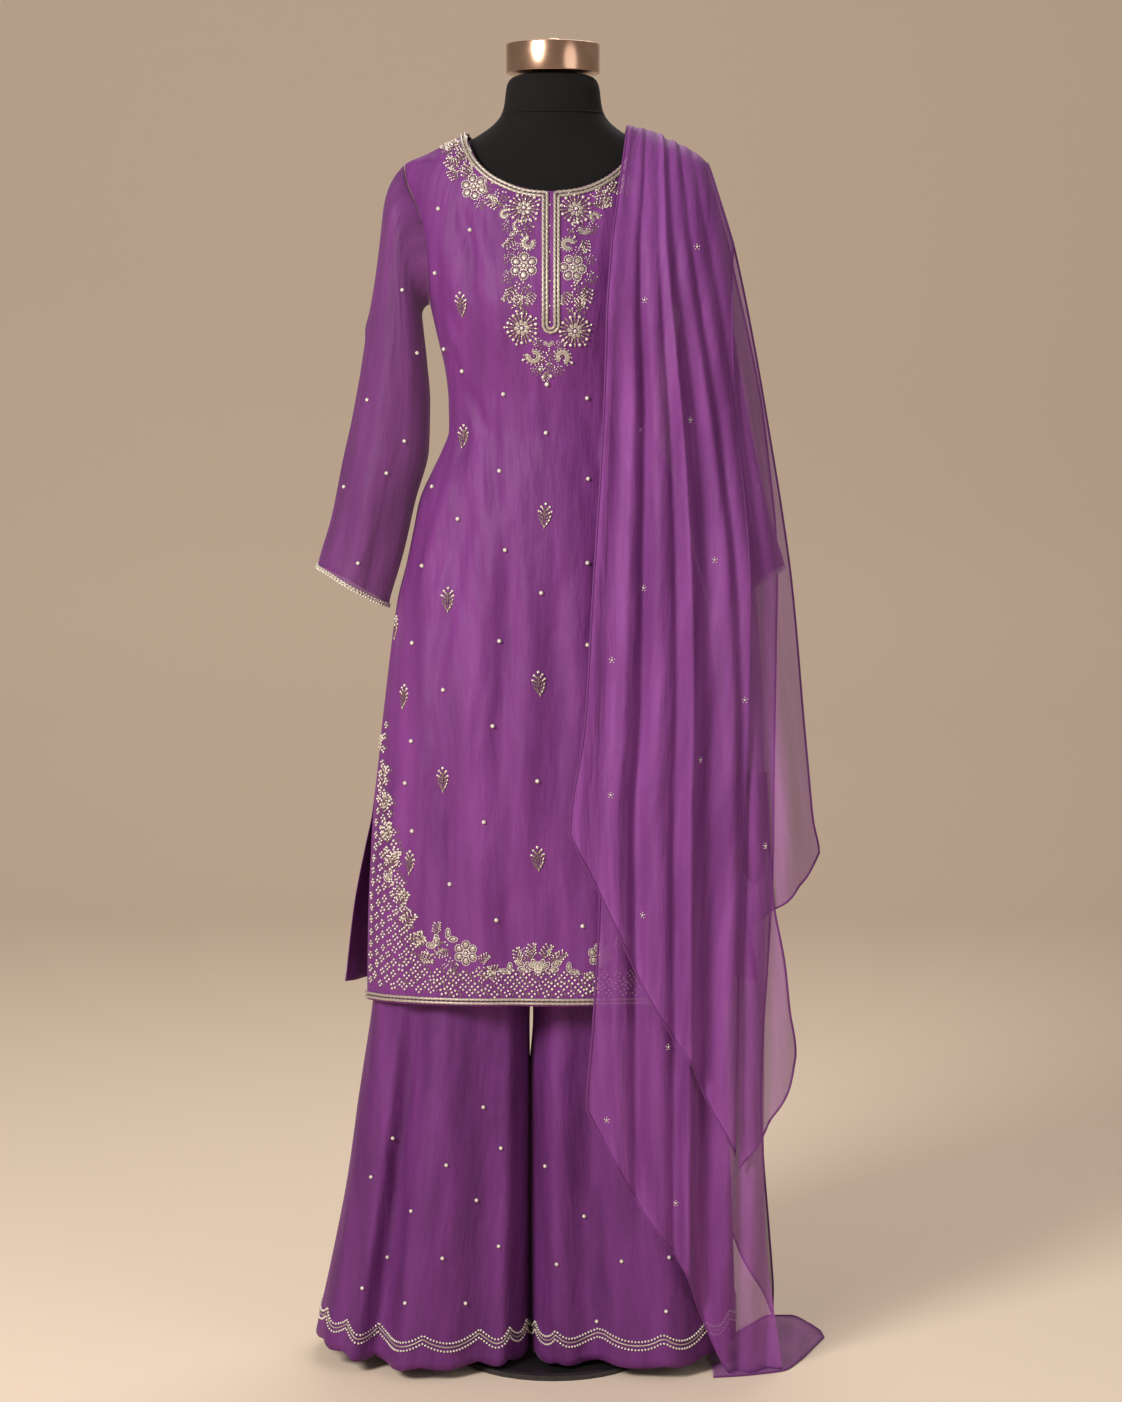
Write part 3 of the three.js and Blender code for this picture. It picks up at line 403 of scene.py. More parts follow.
def tunic_panel(u, v, side):
    """u runs across from -1 to 1 and v down: -1 neck, 0 armhole foot, 1 hem."""
    away = u * -side
    reach = np.abs(u)
    turn = np.pi / 2 * np.clip(reach / NECK_SHARE, 0, 1) ** NECK_SPREAD
    along = np.clip((reach - NECK_SHARE) / (1 - NECK_SHARE), 0, 1)
    is_neck = reach < NECK_SHARE
    neck_z = NECK_POINT - NECK_DROP[side] * np.cos(turn)
    top_z = np.where(is_neck, neck_z, mix(NECK_POINT, SHOULDER_TIP, along))
    neck_x = NECK_HALF * np.sin(turn) + 2 * reach / NECK_SHARE
    top_x = np.where(is_neck, neck_x, tunic_half(top_z))
    climb = np.sin(np.clip(-v, 0, 1) * np.pi / 2)
    yoke_z = mix(ARMHOLE_FOOT, top_z, climb)
    foot_x = tunic_half(ARMHOLE_FOOT) * np.sin(reach * np.pi / 2)
    edge_z = mix(ARMHOLE_FOOT, SHOULDER_TIP, climb)
    edge_x = mix(tunic_half(ARMHOLE_FOOT), tunic_half(SHOULDER_TIP), climb)
    hollow = (armhole_edge(edge_z) - edge_x) * reach**4
    yoke_x = TUNIC_LEAN + np.sign(away) * (mix(foot_x, top_x, climb) + hollow)
    yoke = np.stack([yoke_x, tunic_face(yoke_x, yoke_z, side), yoke_z], -1)
    hem = TUNIC_HEM + (HEM_DIP * (1 - u * u) if side < 0 else BACK_HEM_RISE)
    z = mix(ARMHOLE_FOOT, hem, np.clip(v, 0, 1))
    spread = blend_in((SLIT_TOP - z) / 260) * SLIT_SPREAD[side]
    angle = (1.5 if side < 0 else 0.5) * np.pi + u * (np.pi / 2 - spread)
    across, out = np.cos(angle), np.sin(angle)
    power = 2 / tunic_round(z)
    extra = back_flare(z) if side > 0 else 0
    x = TUNIC_LEAN + (tunic_half(z) + extra) * np.sign(across) * np.abs(across) ** power
    y = tunic_depth(z, side) * np.sign(out) * np.abs(out) ** power
    return np.where((v > 0)[..., None], np.stack([x, y, z + 0 * x], -1), yoke)


def outward(grid):
    """The outward direction at each point of a grid, rows down and columns anticlockwise."""
    down = np.gradient(grid, axis=0)
    along = np.gradient(grid, axis=1)
    normal = np.cross(down, along)
    return normal / np.maximum(np.linalg.norm(normal, axis=-1, keepdims=True), 1e-9)


def spans(grid):
    """The distance of each point from the middle column and from the top row, in mm."""
    steps = np.linalg.norm(np.diff(grid, axis=1), axis=-1)
    across = np.concatenate([np.zeros((len(grid), 1)), np.cumsum(steps, 1)], 1)
    across -= across[:, [grid.shape[1] // 2]]
    drops = np.linalg.norm(np.diff(grid, axis=0), axis=-1)
    down = np.concatenate([np.zeros((1, grid.shape[1])), np.cumsum(drops, 0)], 0)
    return across, down


def draws(across, z, rows):
    """Long soft folds. A row gives the two ends, across and height, a width and a depth."""
    total = np.zeros_like(across)
    for top_s, top_z, foot_s, foot_z, width, depth in rows:
        run, fall_by = foot_s - top_s, foot_z - top_z
        long = math.hypot(run, fall_by)
        t = ((across - top_s) * run + (z - top_z) * fall_by) / long**2
        side_way = ((across - top_s) * fall_by - (z - top_z) * run) / long / width
        fade = blend_in(t / 0.3) * blend_in((1 - t) / 0.3)
        total += depth * fade * (1 - side_way**2) * np.exp(-(side_way**2))
    return total


def crumple(across, z, seed, reach, size, tall=3.0, count=14):
    """Small uneven creases: a sum of slanted waves that come and go."""
    dice = np.random.default_rng(seed)
    total = np.zeros_like(across)
    for _ in range(count):
        wave = dice.uniform(0.5, 1.6) * size
        lean = dice.normal(0, 0.35)
        phase, patch = dice.uniform(0, 6.28, 2)
        path = across / wave + (z / (wave * tall)) * lean + phase
        bend = 1.2 * np.sin(z / (wave * tall) + patch)
        here = blend_in(0.5 + np.sin(across / (3.1 * wave) + z / (wave * tall * 1.3) + patch))
        total += np.sin(path + bend) * here
    return reach * total / math.sqrt(count)


def sheet_mesh(name, grid, is_tube=False):
    """A mesh of quads from a grid of points in mm, with its own flat map in metres."""
    tall, wide = grid.shape[:2]
    across, down = spans(grid)
    flat = np.stack([across, -down], -1).reshape(-1, 2) * MM
    cells = np.arange(tall - 1), np.arange(wide if is_tube else wide - 1)
    i, j = (part.ravel() for part in np.meshgrid(*cells, indexing="ij"))
    top, foot, right = i * wide, (i + 1) * wide, (j + 1) % wide
    faces = np.stack([top + j, foot + j, foot + right, top + right], 1)
    mesh = bpy.data.meshes.new(name)
    mesh.from_pydata((grid.reshape(-1, 3) * MM).tolist(), [], faces.tolist())
    uv = mesh.uv_layers.new(name="flat")
    spots = flat[faces.ravel()]
    if is_tube:
        width = np.linalg.norm(grid[:, -1] - grid[:, 0], axis=-1).mean() * MM
        closing = (np.repeat(j == wide - 1, 4)) & np.tile([False, False, True, True], len(j))
        row = np.stack([i, i + 1, i + 1, i], 1).ravel()
        spots[closing, 0] = flat.reshape(tall, wide, 2)[row[closing], -1, 0] + width
    uv.data.foreach_set("uv", spots.ravel())
    piece = bpy.data.objects.new(name, mesh)
    bpy.context.collection.objects.link(piece)
    pick(piece)
    bpy.ops.object.shade_smooth()
    return piece


def thicken(piece, thickness):
    """Gives a sheet its cloth's thickness, inwards."""
    wall = piece.modifiers.new("cloth_thickness", "SOLIDIFY")
    wall.thickness = thickness
    wall.offset = -1
    pick(piece)
    bpy.ops.object.modifier_apply(modifier=wall.name)


# The scale of the lighter streaks painted into the silk's colour as sheen
SHEEN_STREAK_SCALE = 9.0
THREAD_RELIEF, CRUSH_RELIEF = 0.0005, 0.005


def woven(name, deep, light, roughness, slub, sheen=0.12, alpha=1.0):
    """Plain-woven silk: uneven threads, lighter streaks of painted sheen down the cloth and a satin
    gloss.
    """
    material = bpy.data.materials.new(name)
    material.use_nodes = True
    nodes, links = material.node_tree.nodes, material.node_tree.links
    surface = nodes["Principled BSDF"]
    surface.inputs["Alpha"].default_value = alpha
    surface.inputs["Specular IOR Level"].default_value = 0.2
    surface.inputs["Sheen Weight"].default_value = sheen
    surface.inputs["Sheen Roughness"].default_value = 0.4
    surface.inputs["Sheen Tint"].default_value = (0.75, 0.34, 0.72, 1)
    place = nodes.new("ShaderNodeTexCoord")

    def threads(scale, stretch, detail):
        mapping = nodes.new("ShaderNodeMapping")
        mapping.inputs["Scale"].default_value = stretch
        noise = nodes.new("ShaderNodeTexNoise")
        noise.inputs["Scale"].default_value = scale
        noise.inputs["Detail"].default_value = detail
        links.new(place.outputs["UV"], mapping.inputs["Vector"])
        links.new(mapping.outputs["Vector"], noise.inputs["Vector"])
        return noise

    warp = threads(slub, (5, 0.22, 1), 2)
    weft = threads(slub, (0.22, 5, 1), 2)
    # Painted sheen: long streaks that lighten the colour down the cloth, and make it glossier where
    # they are light
    streaks = threads(SHEEN_STREAK_SCALE, (3.2, 0.5, 1), 4)
    wrinkles = threads(3.2 * SHEEN_STREAK_SCALE, (2.4, 0.5, 1), 3)
    weave = nodes.new("ShaderNodeMath")
    weave.operation = "ADD"
    links.new(warp.outputs["Fac"], weave.inputs[0])
    links.new(weft.outputs["Fac"], weave.inputs[1])
    # The colour mixes the threads' own uneven tone with the painted sheen streaks
    shade = nodes.new("ShaderNodeMath")
    shade.operation = "MULTIPLY_ADD"
    shade.inputs[1].default_value = 0.22
    links.new(weave.outputs["Value"], shade.inputs[0])
    links.new(streaks.outputs["Fac"], shade.inputs[2])
    ramp = nodes.new("ShaderNodeValToRGB")
    ramp.color_ramp.elements[0].position = 0.56
    ramp.color_ramp.elements[0].color = (*deep, 1)
    ramp.color_ramp.elements[1].position = 0.9
    ramp.color_ramp.elements[1].color = (*light, 1)
    links.new(shade.outputs["Value"], ramp.inputs["Fac"])
    links.new(ramp.outputs["Color"], surface.inputs["Base Color"])
    gloss = nodes.new("ShaderNodeMapRange")
    gloss.inputs["To Min"].default_value = roughness + 0.06
    gloss.inputs["To Max"].default_value = roughness - 0.06
    links.new(streaks.outputs["Fac"], gloss.inputs["Value"])
    links.new(gloss.outputs["Result"], surface.inputs["Roughness"])
    relief = nodes.new("ShaderNodeBump")
    relief.inputs["Strength"].default_value = 0.35
    relief.inputs["Distance"].default_value = THREAD_RELIEF
    creases = nodes.new("ShaderNodeBump")
    creases.inputs["Strength"].default_value = 0.55
    creases.inputs["Distance"].default_value = CRUSH_RELIEF
    links.new(wrinkles.outputs["Fac"], creases.inputs["Height"])
    links.new(creases.outputs["Normal"], relief.inputs["Normal"])
    links.new(shade.outputs["Value"], relief.inputs["Height"])
    links.new(relief.outputs["Normal"], surface.inputs["Normal"])
    return material


tunic_silk = woven("tunic_tissue_silk", (0.135, 0.025, 0.152), (0.2, 0.042, 0.224), 0.56, 260)

# Across from the middle and height of both ends, then width and depth, in mm
FRONT_DRAWS = [
    (-150, 1330, -92, 1180, 16, 3.2),
    (-128, 1345, -66, 1225, 13, -2.4),
    (-100, 1330, -40, 1120, 15, 2.4),
    (-138, 1215, -92, 1110, 11, 3.0),
    (-128, 1190, -70, 1060, 12, -2.6),
    (-118, 1135, -122, 1030, 10, 2.4),
    (-70, 1170, -62, 960, 14, -1.8),
    (-112, 1060, -168, 880, 13, 2.8),
    (-90, 1040, -140, 760, 16, -3.0),
    (-58, 1010, -110, 640, 15, 2.6),
    (-40, 1000, -66, 600, 17, -3.0),
    (-18, 960, -34, 560, 15, 2.8),
    (8, 980, 2, 520, 16, -2.6),
    (30, 940, 34, 600, 14, 2.6),
    (52, 1010, 70, 640, 16, -3.0),
    (80, 1000, 108, 560, 18, 3.0),
    (110, 960, 150, 600, 16, -2.8),
    (60, 1180, 70, 1000, 15, 2.2),
    (96, 1210, 88, 1040, 14, -2.4),
    (-146, 760, -160, 520, 14, 3.2),
    (-112, 700, -118, 470, 13, -2.8),
    (-78, 640, -76, 450, 12, 2.6),
    (-44, 600, -50, 446, 14, -2.4),
    (-6, 580, -14, 446, 13, 2.4),
    (30, 620, 28, 450, 14, -2.4),
    (-60, 820, -84, 700, 8, 2.0),
    (-24, 760, -40, 640, 8, 1.8),
]
BACK_DRAWS = [
    (-130, 1330, -70, 1170, 16, 3.0),
    (128, 1330, 66, 1190, 15, 3.0),
    (-120, 1200, -50, 1080, 13, -2.6),
    (118, 1190, 44, 1060, 13, -2.4),
    (-20, 1380, -12, 1160, 16, 2.2),
    (22, 1370, 14, 1140, 14, -2.0),
    (-96, 1060, -60, 960, 12, 2.6),
    (92, 1050, 64, 940, 12, 2.4),
    (-130, 1000, -170, 700, 18, 3.2),
    (-84, 980, -104, 600, 17, -3.2),
    (-44, 960, -50, 520, 18, 3.0),
    (0, 990, 6, 560, 16, -3.2),
    (46, 960, 56, 500, 18, 3.2),
    (86, 1000, 112, 600, 16, -3.0),
    (128, 980, 168, 640, 17, 3.0),
    (-150, 620, -160, 450, 14, -2.6),
    (146, 620, 158, 450, 14, -2.6),
]


def tunic_cloth(name, side, folds, seed):
    rows = np.concatenate([np.linspace(-1, 0, YOKE_ROWS), np.linspace(0, 1, SKIRT_ROWS)[1:]])
    u, v = np.meshgrid(np.linspace(-1, 1, PANEL_COLUMNS), rows)
    grid = tunic_panel(u, v, side)
    across, _ = spans(grid)
    z = grid[..., 2]
    lift = draws(across, z, folds) + crumple(across, z, seed, 0.7, 11)
    lift += crumple(across, z, seed + 1, 1.3, 24, 5) * blend_in((1010 - z) / 250)
    edge = blend_in((1 - np.abs(u)) / 0.12)
    neck = blend_in((v + 1) / 0.12)
    lift = np.where(lift < 0, 2.0 * lift, 1.1 * lift) * edge * neck
    grid = grid + outward(grid) * lift[..., None]
    piece = sheet_mesh(name, grid)
    thicken(piece, CLOTH_WALL)
    piece.data.materials.append(tunic_silk)
    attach(piece, "root")
    return piece, grid


tunic_front, front_grid = tunic_cloth("tunic_front_panel", -1, FRONT_DRAWS, 3)
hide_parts("kurta_front")
tunic_back, back_grid = tunic_cloth("tunic_back_panel", 1, BACK_DRAWS, 8)
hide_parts("kurta_back")

# The sleeves: the same tissue silk in a single sheer layer, set into the armholes and
# left wide at the wrist. Long shallow folds fall from the elbow, and the far side of
# each sleeve shows faintly through the near one.

# Outer and inner edge as seen from the front, and half depth, from shoulder to cuff
SLEEVE_ROWS = [
    (168, 1382, 140, 1226, 42),
    (180, 1368, 146, 1221, 44),
    (190, 1338, 147, 1211, 47),
    (196, 1288, 145, 1190, 49),
    (204, 1230, 142, 1160, 50),
    (213, 1165, 139.5, 1115, 50),
    (225, 1100, 141, 1062, 50),
    (239, 1036, 157, 1000, 50),
    (254, 975, 172, 935, 49),
    (265, 938, 184.5, 893, 48),
    (268, 926, 187.5, 880, 48),
]
SLEEVE_SIDES, SLEEVE_STEPS = 96, 96
sleeve_end = len(SLEEVE_ROWS) - 1
sleeve_read = [curve(range(len(SLEEVE_ROWS)), column) for column in zip(*SLEEVE_ROWS)]
SLEEVE_DRAWS = [
    (-60, 60, -40, 330, 16, 3.2),
    (-30, 40, -14, 260, 13, -3.0),
    (0, 120, 8, 420, 15, 3.0),
    (28, 60, 40, 300, 14, -3.0),
    (58, 90, 66, 430, 15, 3.2),
    (-92, 150, -84, 440, 15, -3.0),
    (-120, 90, -118, 400, 16, 3.0),
    (90, 150, 96, 440, 15, -3.0),
    (122, 90, 124, 400, 16, 2.8),
    (-48, 250, -52, 470, 12, 2.6),
    (18, 260, 24, 470, 11, -2.6),
    (-10, 170, 52, 250, 9, 2.0),
    (-70, 190, -10, 280, 9, -2.0),
]
sleeve_silk = woven(
    "sleeve_tissue_silk", (0.12, 0.022, 0.135), (0.19, 0.038, 0.214), 0.56, 260, 0.12, 0.8
)


def sleeve_grid(side):
    turns = np.linspace(0, 2 * np.pi, SLEEVE_SIDES + 1)[:-1]
    angle, row = np.meshgrid(turns, np.linspace(0, sleeve_end, SLEEVE_STEPS))
    out_x, out_z, in_x, in_z, depth = [read(row) for read in sleeve_read]
    turn = angle if side < 0 else np.pi - angle
    grown = 0.03 * blend_in((row - 2) / 4)
    crease = 1 + grown * np.sin(5 * turn + row / 3)
    tube = np.stack(
        [
            (out_x + in_x) / 2 - (out_x - in_x) / 2 * np.cos(turn) * crease,
            depth * crease * np.sin(turn),
            (out_z + in_z) / 2 - (out_z - in_z) / 2 * np.cos(turn),
        ],
        -1,
    )
    z = mix(ARMHOLE_FOOT, SHOULDER_TIP, (1 - np.cos(turn)) / 2)
    edge_x = armhole_edge(z)
    front, back = (tunic_face(TUNIC_LEAN + edge_x, z, face) for face in (-1, 1))
    seam = np.stack([edge_x + 1.2, np.where(np.sin(turn) < 0, front, back), z], -1)
    grid = mix(seam, tube, blend_in(row / 1.6)[..., None])
    grid[..., 0] = side * grid[..., 0] + TUNIC_LEAN
    across, down = spans(grid)
    lift = draws(across, down, SLEEVE_DRAWS) + crumple(across, down, 21 + side, 0.5, 12)
    hold = blend_in(row / 2) * blend_in((10.6 - row) / 1.5)
    return grid + outward(grid) * (lift * hold)[..., None]


sleeves = {}
for name, node, side in (("right_sleeve", "sleeve_right", -1), ("left_sleeve", "sleeve_left", 1)):
    grid = sleeve_grid(side)
    sleeve = sheet_mesh(name + "_cloth", grid, is_tube=True)
    sleeve.data.materials.append(sleeve_silk)
    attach(sleeve, "root")
    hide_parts(node)
    sleeves[name] = sleeve, grid

# The trousers: purple silk a shade deeper than the tunic, four panels sewn to a
# waistband and down each leg, very wide at the hem. Broad folds hang from the hips,
# and the hem is turned up in shallow scallops.

LEG_ROWS = {
    -1: [
        (735, -179, -25, 88, 98),
        (600, -193, -26, 84, 88),
        (500, -202, -26, 85, 86),
        (414, -211, -27, 91, 91),
        (301, -228, -29, 100, 102),
        (217, -240, -31, 106, 110),
        (145, -253, -33, 110, 116),
        (85, -264, -35, 111, 118),
        (12, -278, -37, 113, 121),
    ],
    1: [
        (735, 176, -22, 88, 98),
        (600, 186, -22.5, 84, 88),
        (500, 193, -23, 85, 86),
        (414, 199, -23.5, 91, 91),
        (301, 204, -24, 100, 102),
        (217, 208, -24, 106, 110),
        (145, 211, -24, 110, 116),
        (85, 213, -24, 111, 118),
        (12, 216, -24, 113, 121),
    ],
}
HIP_ROWS = [
    (1035, 127, 88, 84),
    (990, 147, 97, 99),
    (930, 162.5, 102, 113),
    (880, 165.5, 102, 116.5),
    (835, 166, 99, 113),
    (735, 172, 92, 104),
]
hip_z, hip_halves, hip_fronts, hip_backs = zip(*HIP_ROWS)
hip_half, hip_front, hip_back = (curve(hip_z, part) for part in (hip_halves, hip_fronts, hip_backs))
# Place round the leg from the outer seam, over the front to the inner seam and back again
FRONT_FOLDS = {
    -1: [
        (0.06, 0.03, 6),
        (0.11, 0.03, -14),
        (0.145, 0.02, 5),
        (0.19, 0.026, -34),
        (0.245, 0.035, 9),
        (0.315, 0.03, -9),
        (0.36, 0.02, 4),
        (0.4, 0.02, -8),
        (0.455, 0.04, -18),
    ],
    1: [
        (0.07, 0.03, 6),
        (0.13, 0.035, -18),
        (0.2, 0.03, 6),
        (0.298, 0.03, -26),
        (0.37, 0.03, 8),
        (0.45, 0.035, -14),
    ],
}
BACK_FOLDS = [
    (0.58, 0.05, -8),
    (0.66, 0.045, 8),
    (0.72, 0.035, -20),
    (0.79, 0.05, 8),
    (0.87, 0.04, -18),
    (0.93, 0.03, 5),
]
SCALLOPS, SCALLOP_RISE = {-1: 8, 1: 7}, 5
WAIST, TROUSER_HEM = 1035, 15
LEGS_MEET, LEG_GAP = -27.1, 0.3
LEG_STEPS, LEG_COLUMNS = 124, {-1: 65, 1: 53}
trouser_silk = woven("trouser_silk", (0.095, 0.018, 0.11), (0.165, 0.034, 0.19), 0.58, 240, 0.1)


def powered(part, power):
    return np.sign(part) * np.abs(part) ** power


def trouser_grid(side, face):
    """One panel, from its outer or inner seam across, and from the waist to the hem."""
    at, *parts = zip(*LEG_ROWS[side])
    outer, inner, front, back = (curve(at, part) for part in parts)
    u, down = np.meshgrid(np.linspace(0, 1, LEG_COLUMNS[face]), np.linspace(0, 1, LEG_STEPS))
    start = {(-1, -1): np.pi, (-1, 1): np.pi / 2, (1, -1): 1.5 * np.pi, (1, 1): 0}[side, face]
    from_outer = 1 - u if side * face < 0 else u
    scallop = SCALLOP_RISE * np.abs(np.sin(np.pi * SCALLOPS[side] * from_outer)) - 3
    z = mix(WAIST, TROUSER_HEM - scallop, down)
    hip_turn = start + u * np.pi / 2
    hip_depth = hip_front(z) if face < 0 else hip_back(z)
    on_hips = np.stack([hip_half(z) * np.cos(hip_turn), hip_depth * np.sin(hip_turn), z], -1)
    leg_turn = (np.pi if face < 0 else 0) + u * np.pi
    inner_x = mix(inner(z), -side * LEG_GAP + LEGS_MEET, blend_in((400 - z) / 60))
    middle, half = (outer(z) + inner_x) / 2, np.abs(outer(z) - inner_x) / 2
    place = from_outer / 2 if face < 0 else 1 - from_outer / 2
    leg_folds = FRONT_FOLDS[side] if face < 0 else BACK_FOLDS
    folds = sum(d * np.exp(-(((place - a) / w) ** 2)) for a, w, d in leg_folds)
    swell = folds * blend_in((640 - z) / 520) * np.sin(np.pi * u) ** 0.7
    leg_depth = (front(z) if face < 0 else back(z)) + swell
    is_inner = blend_in(-2 * side * np.cos(leg_turn)) * blend_in((640 - z) / 300)
    power = mix(2 / 2.3, 2 / 3.2, is_inner)
    on_leg = np.stack(
        [
            middle + half * powered(np.cos(leg_turn), power),
            leg_depth * powered(np.sin(leg_turn), power),
            z,
        ],
        -1,
    )
    grid = mix(on_hips, on_leg, blend_in((830 - z) / 95)[..., None])
    is_outer = np.maximum(0, side * np.cos(leg_turn))
    grid[..., 2] += 16 * is_outer**3 * blend_in((200 - z) / 200)
    across, _ = spans(grid)
    seed = 40 + side * 3 + face
    low = blend_in((700 - z) / 350)
    lift = crumple(across, z, seed, 1.7, 24, 5) * low + crumple(across, z, seed + 9, 0.4, 9)
    flutter = 2.2 * np.sin(across / 9.5 + seed) * blend_in((90 - z) / 90)
    grid += outward(grid) * ((lift + flutter) * np.sin(np.pi * u) ** 0.5)[..., None]
    return grid


PANEL_NAMES = {
    (-1, -1): "trouser_right_front",
    (-1, 1): "trouser_right_back",
    (1, -1): "trouser_left_front",
    (1, 1): "trouser_left_back",
}
trousers = {}
for (side, face), node in PANEL_NAMES.items():
    grid = trouser_grid(side, face)
    panel = sheet_mesh(node + "_cloth", grid)
    thicken(panel, CLOTH_WALL)
    panel.data.materials.append(trouser_silk)
    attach(panel, "root")
    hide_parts(node)
    trousers[side, face] = panel, grid

waistband = smooth_copy("waistband", "trouser_waistband", 1)
waistband.data.materials.append(trouser_silk)
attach(waistband, "root")
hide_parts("waistband")

# The scarf: one long piece of purple silk net, pleated over the left shoulder. It is
# left in one layer where the pleats open, so what lies under it shows through, and
# all its edges are turned in a narrow rolled hem, darker because it is doubled.

SCARF_SECTIONS = [
    (1424, 80, 60, 63),
    (1423, 100, 61, 64),
    (1419.5, 114, 63, 67),
    (1408, 138, 67, 72),
    (1398, 158, 70, 77),
    (1382, 177, 77, 86),
    (1345, 195, 98, 102),
    (1290, 211, 123, 111),
    (1219, 226, 136, 110),
    (1151, 239, 132, 103),
    (1071, 252, 128, 104),
    (1003, 264, 134, 122),
    (899, 279, 142, 142),
    (795, 290, 146, 142),
    (597, 312, 152, 140),
    (428, 312, 156, 140),
    (200, 312, 154, 146),
    (60, 312, 132, 150),
    (0, 330, 120, 152),
]
scarf_z, scarf_halves, scarf_fronts, scarf_backs = zip(*SCARF_SECTIONS)
scarf_half = curve(scarf_z, scarf_halves)
scarf_depth = {-1: curve(scarf_z, scarf_fronts), 1: curve(scarf_z, scarf_backs)}
# The height where the scarf leaves the shoulder, and its edges there and on the ridge
SCARF_BREAK = 1290
BREAK_LEFT, BREAK_RIGHT, RIDGE_LEFT, RIDGE_RIGHT = 65, 203, 84, 175
scarf_left = curve([1290, 1219, 1094, 1003, 899, 772, 655, 543], [65, 60, 56, 50, 44, 37, 24, 22])
scarf_right = curve(
    [1290, 1219, 1094, 1003, 899, 772, 655, 543], [203, 219, 243, 258.5, 273, 284, 294, 296]
)
ridge_heights = np.linspace(SCARF_BREAK, 1424, 1500)
ridge_halves = scarf_half(ridge_heights)


def scarf_face(x, z, side, inset):
    share = np.clip(np.abs(x) / scarf_half(z), 0, 1)
    return side * (scarf_depth[side](z) - inset) * (1 - share**2.4) ** (1 / 2.4)


def over_shoulder(share, v, inset):
    """v runs from the front break at 0, over the ridge at 0.5, to the back break at 1."""
    climb = np.sin(np.pi * v)
    ridge_x = mix(RIDGE_LEFT, RIDGE_RIGHT, share)
    ridge_z = np.interp(-ridge_x, -ridge_halves, ridge_heights)
    z = mix(SCARF_BREAK, ridge_z, climb) - inset * climb
    x = mix(mix(BREAK_LEFT, BREAK_RIGHT, share), ridge_x, climb)
    front = scarf_face(x, z, -1, inset)
    back = scarf_face(x, z, 1, inset)
    return np.stack([x, np.where(v < 0.5, front, back), z], -1)


# Where a fold runs as a share of the scarf's width: at the shoulder, the waist and the
# knee; then its half width as a share, and how far it stands out in mm
FRONT_PLEATS = [
    (0.03, 0.02, 0.02, 0.040, 3.0),
    (0.11, 0.09, 0.10, 0.050, -3.5),
    (0.18, 0.17, 0.18, 0.034, 4.0),
    (0.235, 0.25, 0.265, 0.030, -10.0),
    (0.30, 0.33, 0.36, 0.046, 5.5),
    (0.375, 0.41, 0.42, 0.022, -4.0),
    (0.43, 0.475, 0.475, 0.026, 10.0),
    (0.50, 0.565, 0.56, 0.046, -13.0),
    (0.57, 0.655, 0.64, 0.036, 6.0),
    (0.645, 0.71, 0.70, 0.022, -5.0),
    (0.71, 0.76, 0.75, 0.038, 4.5),
    (0.79, 0.83, 0.83, 0.028, -5.5),
    (0.87, 0.89, 0.89, 0.042, 3.5),
    (0.95, 0.95, 0.95, 0.024, -3.0),
]
BACK_PLEATS = [
    (0.05, 0.06, 0.05, 0.034, 5.0),
    (0.14, 0.15, 0.14, 0.038, -7.5),
    (0.23, 0.25, 0.24, 0.034, 7.0),
    (0.31, 0.34, 0.35, 0.040, -9.0),
    (0.40, 0.44, 0.46, 0.034, 8.0),
    (0.49, 0.53, 0.56, 0.040, -9.5),
    (0.58, 0.62, 0.65, 0.034, 7.5),
    (0.68, 0.71, 0.73, 0.040, -8.0),
    (0.78, 0.80, 0.81, 0.034, 6.5),
    (0.88, 0.89, 0.89, 0.034, -5.5),
    (0.96, 0.96, 0.96, 0.026, 4.0),
]
scarf_net = woven("scarf_silk_net", (0.2, 0.042, 0.225), (0.32, 0.082, 0.36), 0.55, 300, 0.15, 0.68)
scarf_roll = woven("scarf_rolled_hem", (0.125, 0.026, 0.14), (0.19, 0.044, 0.21), 0.55, 500, 0.1)


def pleats(share, z, rows, swing):
    """The folds of the scarf at a share of its width and a height."""
    total = np.zeros_like(share)
    for top, waist, knee, width, depth in rows:
        middle = np.where(z > 900, mix(waist, top, blend_in((z - 900) / 480)), 0)
        middle = np.where(z > 900, middle, mix(knee, waist, blend_in((z - 350) / 550)))
        away = (share - middle) / width
        total += depth * np.exp(-(away**2))
    return total * swing


def front_rows(edges, hem, inset, rows, columns, v_end):
    """The grid of a front stretch, from where it starts behind the ridge to its hem."""
    edge_z, lefts, rights = zip(*edges)
    left, right = curve(edge_z, lefts), curve(edge_z, rights)
    hem_z = curve(*zip(*hem))
    top_inset, low_inset, ease = inset
    c, t = np.meshgrid(np.linspace(0, 1, columns), np.linspace(0, 1, rows))
    z = mix(SCARF_BREAK, hem_z(c), t)
    x = mix(left(z), right(z), c)
    depth = mix(top_inset, low_inset, blend_in((SCARF_BREAK - z) / ease))
    low = np.stack([x, scarf_face(x, z, -1, depth), z], -1)
    low_share = (x - scarf_left(z)) / (scarf_right(z) - scarf_left(z))
    c, v = np.meshgrid(np.linspace(0, 1, columns), np.linspace(v_end, 0, 46)[:-1])
    ends = [float(side(SCARF_BREAK)) for side in (left, right)]
    share = mix(*((end - BREAK_LEFT) / (BREAK_RIGHT - BREAK_LEFT) for end in ends), c)
    high = over_shoulder(share, v, top_inset)
    return np.concatenate([high, low]), np.concatenate([share, low_share]), len(high)


def finish_scarf(name, nodes, grid):
    piece = sheet_mesh(name, grid)
    piece.data.materials.append(scarf_net)
    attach(piece, "root")
    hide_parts(*nodes)
    return piece


